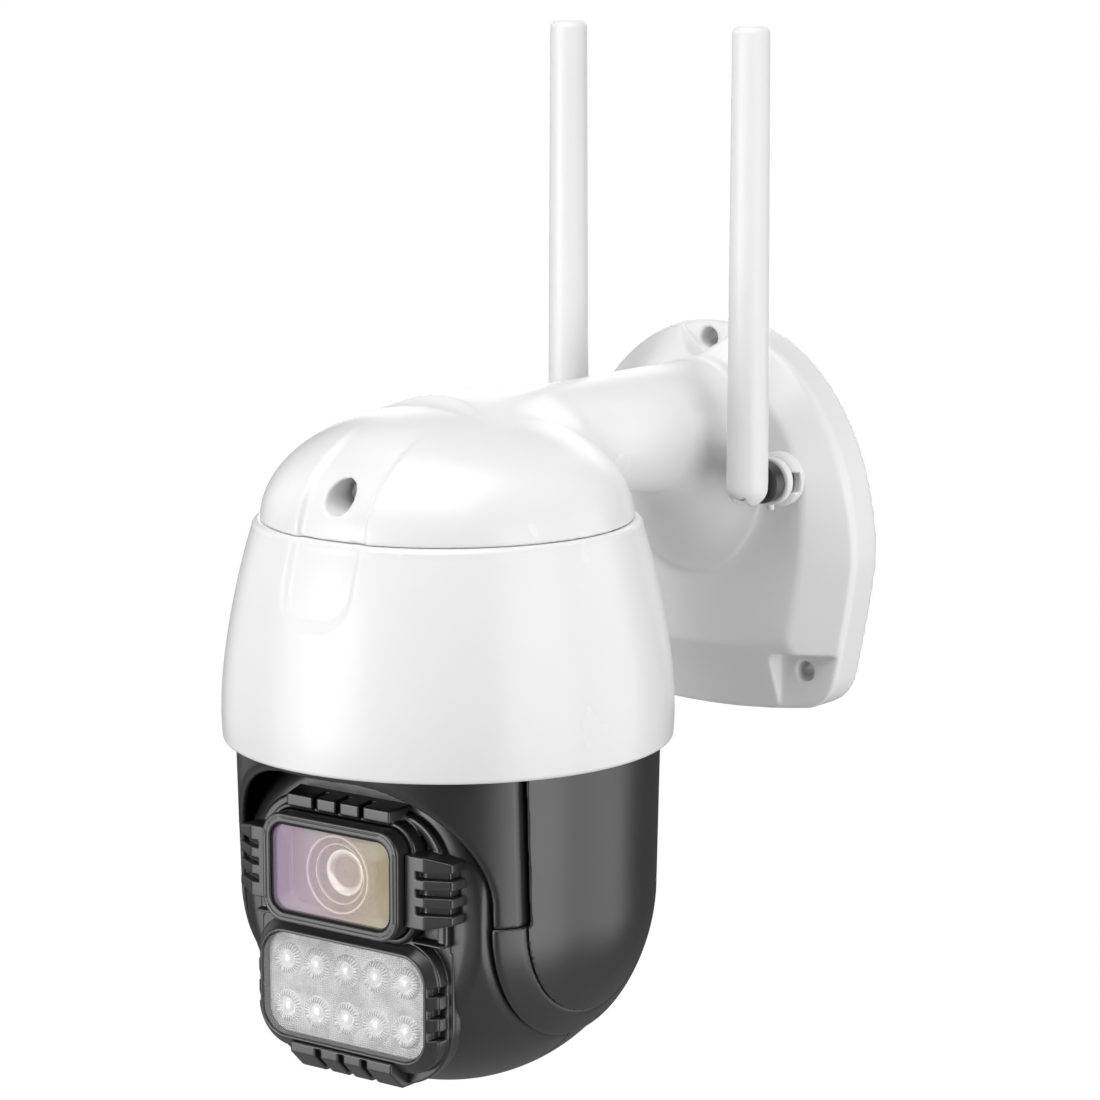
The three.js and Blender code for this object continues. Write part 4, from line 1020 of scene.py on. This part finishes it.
ball_piece("lens_chamber_tray", chamber_form, (-22.5, -51.6, -3), (22.5, -43, 25), 0.5,
           chamber_paint, "grey_plastic", "lens_chamber")
lens_turning("lens_barrel_turning", [
    (1.0, 30.0), (9.0, 30.0), (9.0, 44.9), (11.0, 44.9), (11.2, 45.1), (11.2, 49.6), (11.0, 49.9),
    (10.6, 49.9), (10.4, 49.3), (9.0, 48.6), (8.7, 48.2), (8.2, 48.0), (7.0, 46.7), (6.8, 45.6),
    (1.0, 45.5)], lens_black, "black_plastic", "lens_barrel")
for name, inner_r, outer_r, front in (("outer", 10.7, 11.25, 50.4), ("inner", 8.4, 8.8, 49.2)):
    lens_turning(f"lens_ring_{name}", ring_outline(inner_r, outer_r, front - 0.9, front, 0.12),
                 ring_white, "black_plastic")
print("barrel and two rings turned")

# %% [markdown]
# The front element is a steep dome of glass over a dark iris. A narrow silvery collar round the iris makes
# the bright crescents seen in any such lens.

# %% Front element, collar and iris
collar_silver = metal("collar_silver", (0.86, 0.82, 0.82), 0.22)
element_glass, _ = new_material("element_glass", {
    "Base Color": (0.62, 0.56, 0.55, 1), "Roughness": 0.04, "Alpha": 0.12, "Coat Weight": 1.0})
dome = [(6.9 * math.sin(a), 46.9 + 2.0 * math.cos(a)) for a in np.linspace(math.pi / 2, 0.15, 12)]
lens_turning("lens_front_element", dome + [(0.02, 48.9), (0.02, 46.9)], element_glass,
             "tinted_glass", "lens_glass")
lens_turning("lens_collar", [(4.2, 45.6), (6.7, 45.6), (6.7, 47.0), (6.5, 47.1), (4.4, 46.3), (4.2, 46.2)],
             collar_silver, "black_plastic")
lens_turning("lens_iris", [
    (0.02, 45.55), (4.1, 45.55), (4.1, 46.0), (3.8, 46.2), (3.2, 46.4), (2.9, 46.1), (2.2, 46.4),
    (2.0, 46.2), (1.2, 46.6), (0.02, 46.7)], lens_black, "black_plastic")
print("collar, iris and front element turned")

# %% [markdown]
# ## The lamp unit
# Ten lamps in two rows sit behind one clear window, in a frame whose sides slope back and carry notches.
# Below the frame a cast heat sink shows as a short row of fins.

# %% Lamp frame and heat sink
FRAME_FRONT = -49.0
SINK_FRONT = -49.8


def lamp_frame_form(x, y, z):
    around = lamp_outline(x, z)
    slope = (around - 0.8 - (y - FRAME_FRONT)) / math.sqrt(2)
    block = meet(meet(slope, around - 3.7, 0.5), between(y, FRAME_FRONT, -45.9), 0.3)
    block = cut(cut(block, around, 0.25), lamp_notches(x, y, z, 0.0), 0.12)
    for_bezel = np.maximum(lens_rectangle(x, z, 26.9, 17.9, 8.8), -51.0 - y)
    for_fins = np.maximum(np.abs(x) - FIN_HALF - 0.15, z + 40.8)
    return cut(cut(block, for_bezel, 0.3), for_fins, 0.1)


def sink_form(x, y, z):
    """A flat front, an underside that slopes back at 45 degrees, and three slots that follow both."""
    slope = (-(z + 43.9) - (y - SINK_FRONT)) / math.sqrt(2)
    front = meet(SINK_FRONT - y, slope, 0.2)
    block = meet(meet(np.abs(x) - FIN_HALF, y + 38.5, 0.3), front, 0.25)
    block = meet(block, between(z, -49.15, -40.95), 0.25)
    block = slotted(block, front, -z, x, 41.6, 47.4, FIN_PITCH)
    behind_frame = np.maximum(-43.6 - z, -46.1 - y)
    return cut(cut(block, behind_frame), sphere(x, y, z, BALL_R) - 0.25)


ball_piece("lamp_frame_moulding", lamp_frame_form, (-34, -49.5, -44.5), (34, -45.5, -4.5), SMALL,
           charcoal_fine, "black_plastic", "led_frame")
ball_piece("lamp_heat_sink_casting", sink_form, (-19, -50.5, -50), (19, -38, -40), SMALL,
           charcoal_fine, "aluminium_sink", "led_heat_sink")

# %% [markdown]
# Each lamp is a moulded lens: a bright bead in the middle and a crown of fine ribs that throws the light
# out. The ribs are real ridges, twenty-eight to a crown, so that they catch light from any side. The sheet
# that they grow from has a fine criss-cross texture.

# %% Lens sheet and crowns
RIBS = 28
RIB_HIGH = 0.5
LAMP_R = 4.75
LAMP_PITCH = (10.73, 14.08)
LAMP_PROFILE = [(0.9, 1.1), (1.6, 0.75), (2.0, 0.25), (2.3, 0.1), (2.6, 0.45), (3.1, 0.75),
                (3.8, 0.8), (4.4, 0.55), (LAMP_R, 0.1), (LAMP_R + 0.1, -0.1)]
BEAD_HIGH = 1.2
SHEET_FRONT = -46.4


def lamp_lens(centre_x, centre_z):
    """A bead, a moat, a ribbed crown and its edge as rings of points, and the faces between them."""
    steps = RIBS * 6
    angles = np.arange(steps) / steps * 2 * math.pi
    wave = 1 - 2 * (0.5 - 0.5 * np.cos(angles * RIBS)) ** 2
    points = []
    for radius, height in LAMP_PROFILE:
        rib = RIB_HIGH * np.clip((radius - 2.2) / 0.7, 0, 1) * (radius < LAMP_R)
        across, up = centre_x + radius * np.cos(angles), centre_z + radius * np.sin(angles)
        points.append(np.stack([across, SHEET_FRONT - height - rib * wave, up], 1))
    points.append([[centre_x, SHEET_FRONT - BEAD_HIGH, centre_z]])
    hub = len(LAMP_PROFILE) * steps
    bead = [(hub, (i + 2) % steps, i + 1, i) for i in range(0, steps, 2)]
    return np.concatenate(points), np.concatenate([ring_quads(len(LAMP_PROFILE), steps), bead])


def lens_sheet_form(x, y, z):
    return meet(lamp_outline(x, z) + 0.3, between(y, SHEET_FRONT, SHEET_FRONT + 1.1), 0.2)


lamps = [lamp_lens(column * LAMP_PITCH[0], LAMP_Z + row * LAMP_PITCH[1])
         for row in (-0.5, 0.5) for column in range(-2, 3)]
crowns = mesh_object("lamp_lens_crowns", np.concatenate([points for points, _ in lamps]), np.concatenate(
    [faces + index * len(points) for index, (points, faces) in enumerate(lamps)]), HEAD)
print(len(lamps), "lamp lenses shaped")

# %% [markdown]
# The plastic over the lamps is clear on a silver backing. A mirror would go black wherever the room is
# dark, so the finish is a pale one with a little metal in it, with shade painted darker into its colour
# between the prisms and in the valleys of the ribs.

# %% Silvered plastic and the clear window
def silvered(name, shade, prisms):
    """Pale and slightly metallic, with shade painted darker between the sheet's prisms and in the valleys of the
    crowns.
    """
    material, shader = new_material(name, {"Roughness": 0.25, "Metallic": 0.2})
    tree = shader.id_data
    place = add_node(tree, "ShaderNodeTexCoord")
    criss_cross = add_node(tree, "ShaderNodeMath", operation="ADD")
    for index, direction in enumerate(("X", "Z")):
        wave = add_node(tree, "ShaderNodeTexWave", Scale=480.0, bands_direction=direction)
        link(place, "Object", wave, "Vector")
        link(wave, "Fac", criss_cross, index)
    low = shade * (0.66 if prisms else 0.94)
    cloud = ramp(tree, [(0.35, (low, low, low)), (0.65, (shade, shade, shade))])
    link(noise(place, 160.0, 3.0), "Fac", cloud, "Fac")
    # Painted shade: the colour is darkened in the grooves between the sheet's prisms and in the concave valleys
    # between the crowns' ribs.
    if prisms:
        painted_groove_shade = remap(criss_cross, 0, 0.0, 2.0, 0.72, 1.0)
    else:
        shape = add_node(tree, "ShaderNodeNewGeometry")
        painted_groove_shade = remap(shape, "Pointiness", 0.39, 0.475, 0.3, 1.0)
    tint_with_painted_light = add_node(tree, "ShaderNodeMixRGB", blend_type="MULTIPLY", Fac=1.0)
    link(cloud, "Color", tint_with_painted_light, "Color1")
    link(painted_groove_shade, "Result", tint_with_painted_light, "Color2")
    link(tint_with_painted_light, "Color", shader, "Base Color")
    bump(criss_cross, 0, shader, 0.5 if prisms else 0.1, 0.0003)
    return material


sheet_silver = silvered("sheet_silver", 0.98, True)
dress(crowns, silvered("crown_clear", 1.0, False), "tilt_ball", "lamp_tray")
ball_piece("lamp_lens_sheet", lens_sheet_form, (-29.3, -46.6, -40), (29.3, -45, -9.5), 0.5,
           sheet_silver, "lamp_tray", "led_lens_panel")

lamp_window = pane("lamp_window_pane", LAMP_HALF[0] - 0.15, LAMP_HALF[1] - 0.15, LAMP_CORNER,
                   LAMP_Z, -48.6, -47.9)
pane_clear, _ = new_material("pane_clear", {
    "Base Color": (0.96, 0.97, 0.98, 1), "Roughness": 0.05, "Alpha": 0.10})
dress(lamp_window, pane_clear, "tilt_ball", "clear_window", "led_window")

# %% [markdown]
# ## The antennas
# Each antenna is a slim white rod on a knuckle. A black barrel turns in a white collar on the plate, and
# the rod's foot is slotted over the barrel's tongue, so that it folds as well as swings.

# %% Rods and their sockets
AX, AY, AZ = turn["antenna_right_swivel"]
ROD_TOP = highest("antenna_rod_right")[2] - AZ
ROD_R = (6.3, 5.65)
JAW_R = 4.9
JAW_HALF = 1.9
TONGUE_R = 4.6
TONGUE_HALF = 1.6
PIVOT = (AX, 0.0, AZ)


def rod_form(x, y, z):
    across = np.hypot(x, y - AY)
    along = np.clip(z / ROD_TOP, 0, 1)
    shaft = across - (ROD_R[0] + (ROD_R[1] - ROD_R[0]) * along)
    shaft = meet(shaft, z - ROD_TOP, 2.2)
    rod = np.where(z < 0, sphere(x, y - AY, z, ROD_R[0]), shaft)
    around_pin = np.hypot(y - AY, z) - JAW_R
    behind = np.minimum(np.maximum(AY - JAW_R - y, z), np.maximum(AY - y, z - JAW_R))
    slot = np.maximum(np.minimum(around_pin, behind), np.abs(x) - JAW_HALF)
    bite = sphere(x - 5.9, y - AY - 4.4, z + 0.4, 1.6)
    return cut(cut(rod, slot, 0.25), bite, 0.3)


def barrel_form(x, y, z):
    across = np.hypot(x, z)
    body = meet(across - 6.3, between(y, -33.7, -29.3), 0.35)
    body = join(body, np.maximum(across - 4.2, between(y, -30, -17.5)))
    stem = np.maximum(np.abs(z) - TONGUE_R, between(y, AY, -33.0))
    tongue = meet(np.minimum(np.hypot(y - AY, z) - TONGUE_R, stem), np.abs(x) - TONGUE_HALF, 0.3)
    pin_hole = np.hypot(y - AY, z) - 1.35
    return cut(join(body, tongue, 0.3), pin_hole)


def collar_form(x, y, z):
    across = np.hypot(x, z)
    ring = meet(across - 8.4, between(y, -25.5, -21.35), 0.5)
    front = meet(across - 7.7, between(y, -25.9, -24.0), 0.4)
    ring = cut(join(ring, front, 0.2), across - 5.4, 0.2)
    opening = np.maximum(np.maximum(np.abs(z + 0.2) - 3.0, 4.0 - x), y + 23.3)
    return cut(ring, opening, 0.3)


def flange_form(x, y, z):
    across = np.hypot(x, z)
    disc = meet(across - 7.35, between(y, -29.0, -26.1), 0.55)
    nub = meet(np.hypot(x, y + 27.6) - 1.1, between(z, -9.0, -6.0), 0.3)
    return cut(join(disc, nub, 0.3), across - 4.4)


pair("antenna_rod_moulding_{}", rod_form, (-6.5, AY - 6.5, -6.5), (6.5, AY + 6.5, ROD_TOP), THIN,
     white_satin, "antenna_{}_rod", "white_plastic", "antenna_rod_{}", PIVOT)
pair("antenna_barrel_moulding_{}", barrel_form, (-6.5, AY - 4.8, -6.5), (6.5, -17, 6.5), 0.4,
     charcoal_fine, "antenna_{}_base", "black_plastic", "antenna_barrel_{}", PIVOT)
pair("antenna_collar_moulding_{}", collar_form, (-8.6, -26, -8.6), (8.6, -21, 8.6), 0.4,
     white_satin, "bracket", "white_plastic", "antenna_collar_{}", PIVOT)
pair("antenna_flange_moulding_{}", flange_form, (-7.6, -29.2, -9.2), (7.6, -26, 7.6), 0.4,
     white_satin, "antenna_{}_base", "white_plastic", "antenna_flange_{}", PIVOT)

# %% [markdown]
# ## Screws
# Four small cross-headed screws hold the rear cover. The head is a low disc with a cross sunk into it. The
# cap's own screw lies deep in its well, where the frame's plain shape is enough.

# %% Cross-headed screws
SCREW_R = 3.1
SCREW_H = 0.95
CROSS_HALF = (0.45, 1.7)


def screw_form(x, y, z):
    across = np.hypot(x, z)
    head = meet(across - SCREW_R, between(y, 0.0, SCREW_H), 0.3)
    shank = np.maximum(across - 1.3, between(y, -6.0, 0.5))
    thin, long = CROSS_HALF
    arms = np.minimum(np.maximum(np.abs(x) - thin, np.abs(z) - long),
                      np.maximum(np.abs(z) - thin, np.abs(x) - long))
    return cut(np.minimum(head, shank), np.maximum(arms, 0.35 * SCREW_H - y), 0.08)


for number, (sx, sz) in enumerate(COVER_SCREWS, start=1):
    piece = carve(f"rear_cover_screw_head_{number}", screw_form, (-3.3, -6.2, -3.3), (3.3, 1.1, 3.3),
                  0.28, (sx, -1.15, sz))
    dress(piece, zinc_steel, "bracket", "steel", f"rear_cover_screw_{number}")

# %% [markdown]
# ## What shows through gaps
# The remaining frame nodes keep their shape: gears, motors, boards, bearings and seals. Each gets the
# finish of its real material, because parts of them can be seen through the gaps and from behind.

# %% Finish the inner pieces
BY_SLOT = {
    "white_plastic": white_gloss, "black_plastic": charcoal, "grey_plastic": grey_inner,
    "rubber_seal": seal_rubber, "steel": zinc_steel, "aluminium_sink": charcoal_fine,
    "circuit_board": board_green, "nylon": gear_nylon, "tinted_glass": coated,
    "clear_window": pane_clear, "lamp_tray": sheet_silver,
}
slot_of = {row["node"]: row["material_slot"] for row in frame["record"]["subparts"]}
for node, thing in frame["nodes"].items():
    thing.data.materials.clear()
    thing.data.materials.append(BY_SLOT[slot_of[node]])
print(len(frame["nodes"]), "frame nodes finished")

# %% Print the frame's size and finish
print("frame box", [[round(v / MM, 1) for v in corner] for corner in cad_box])
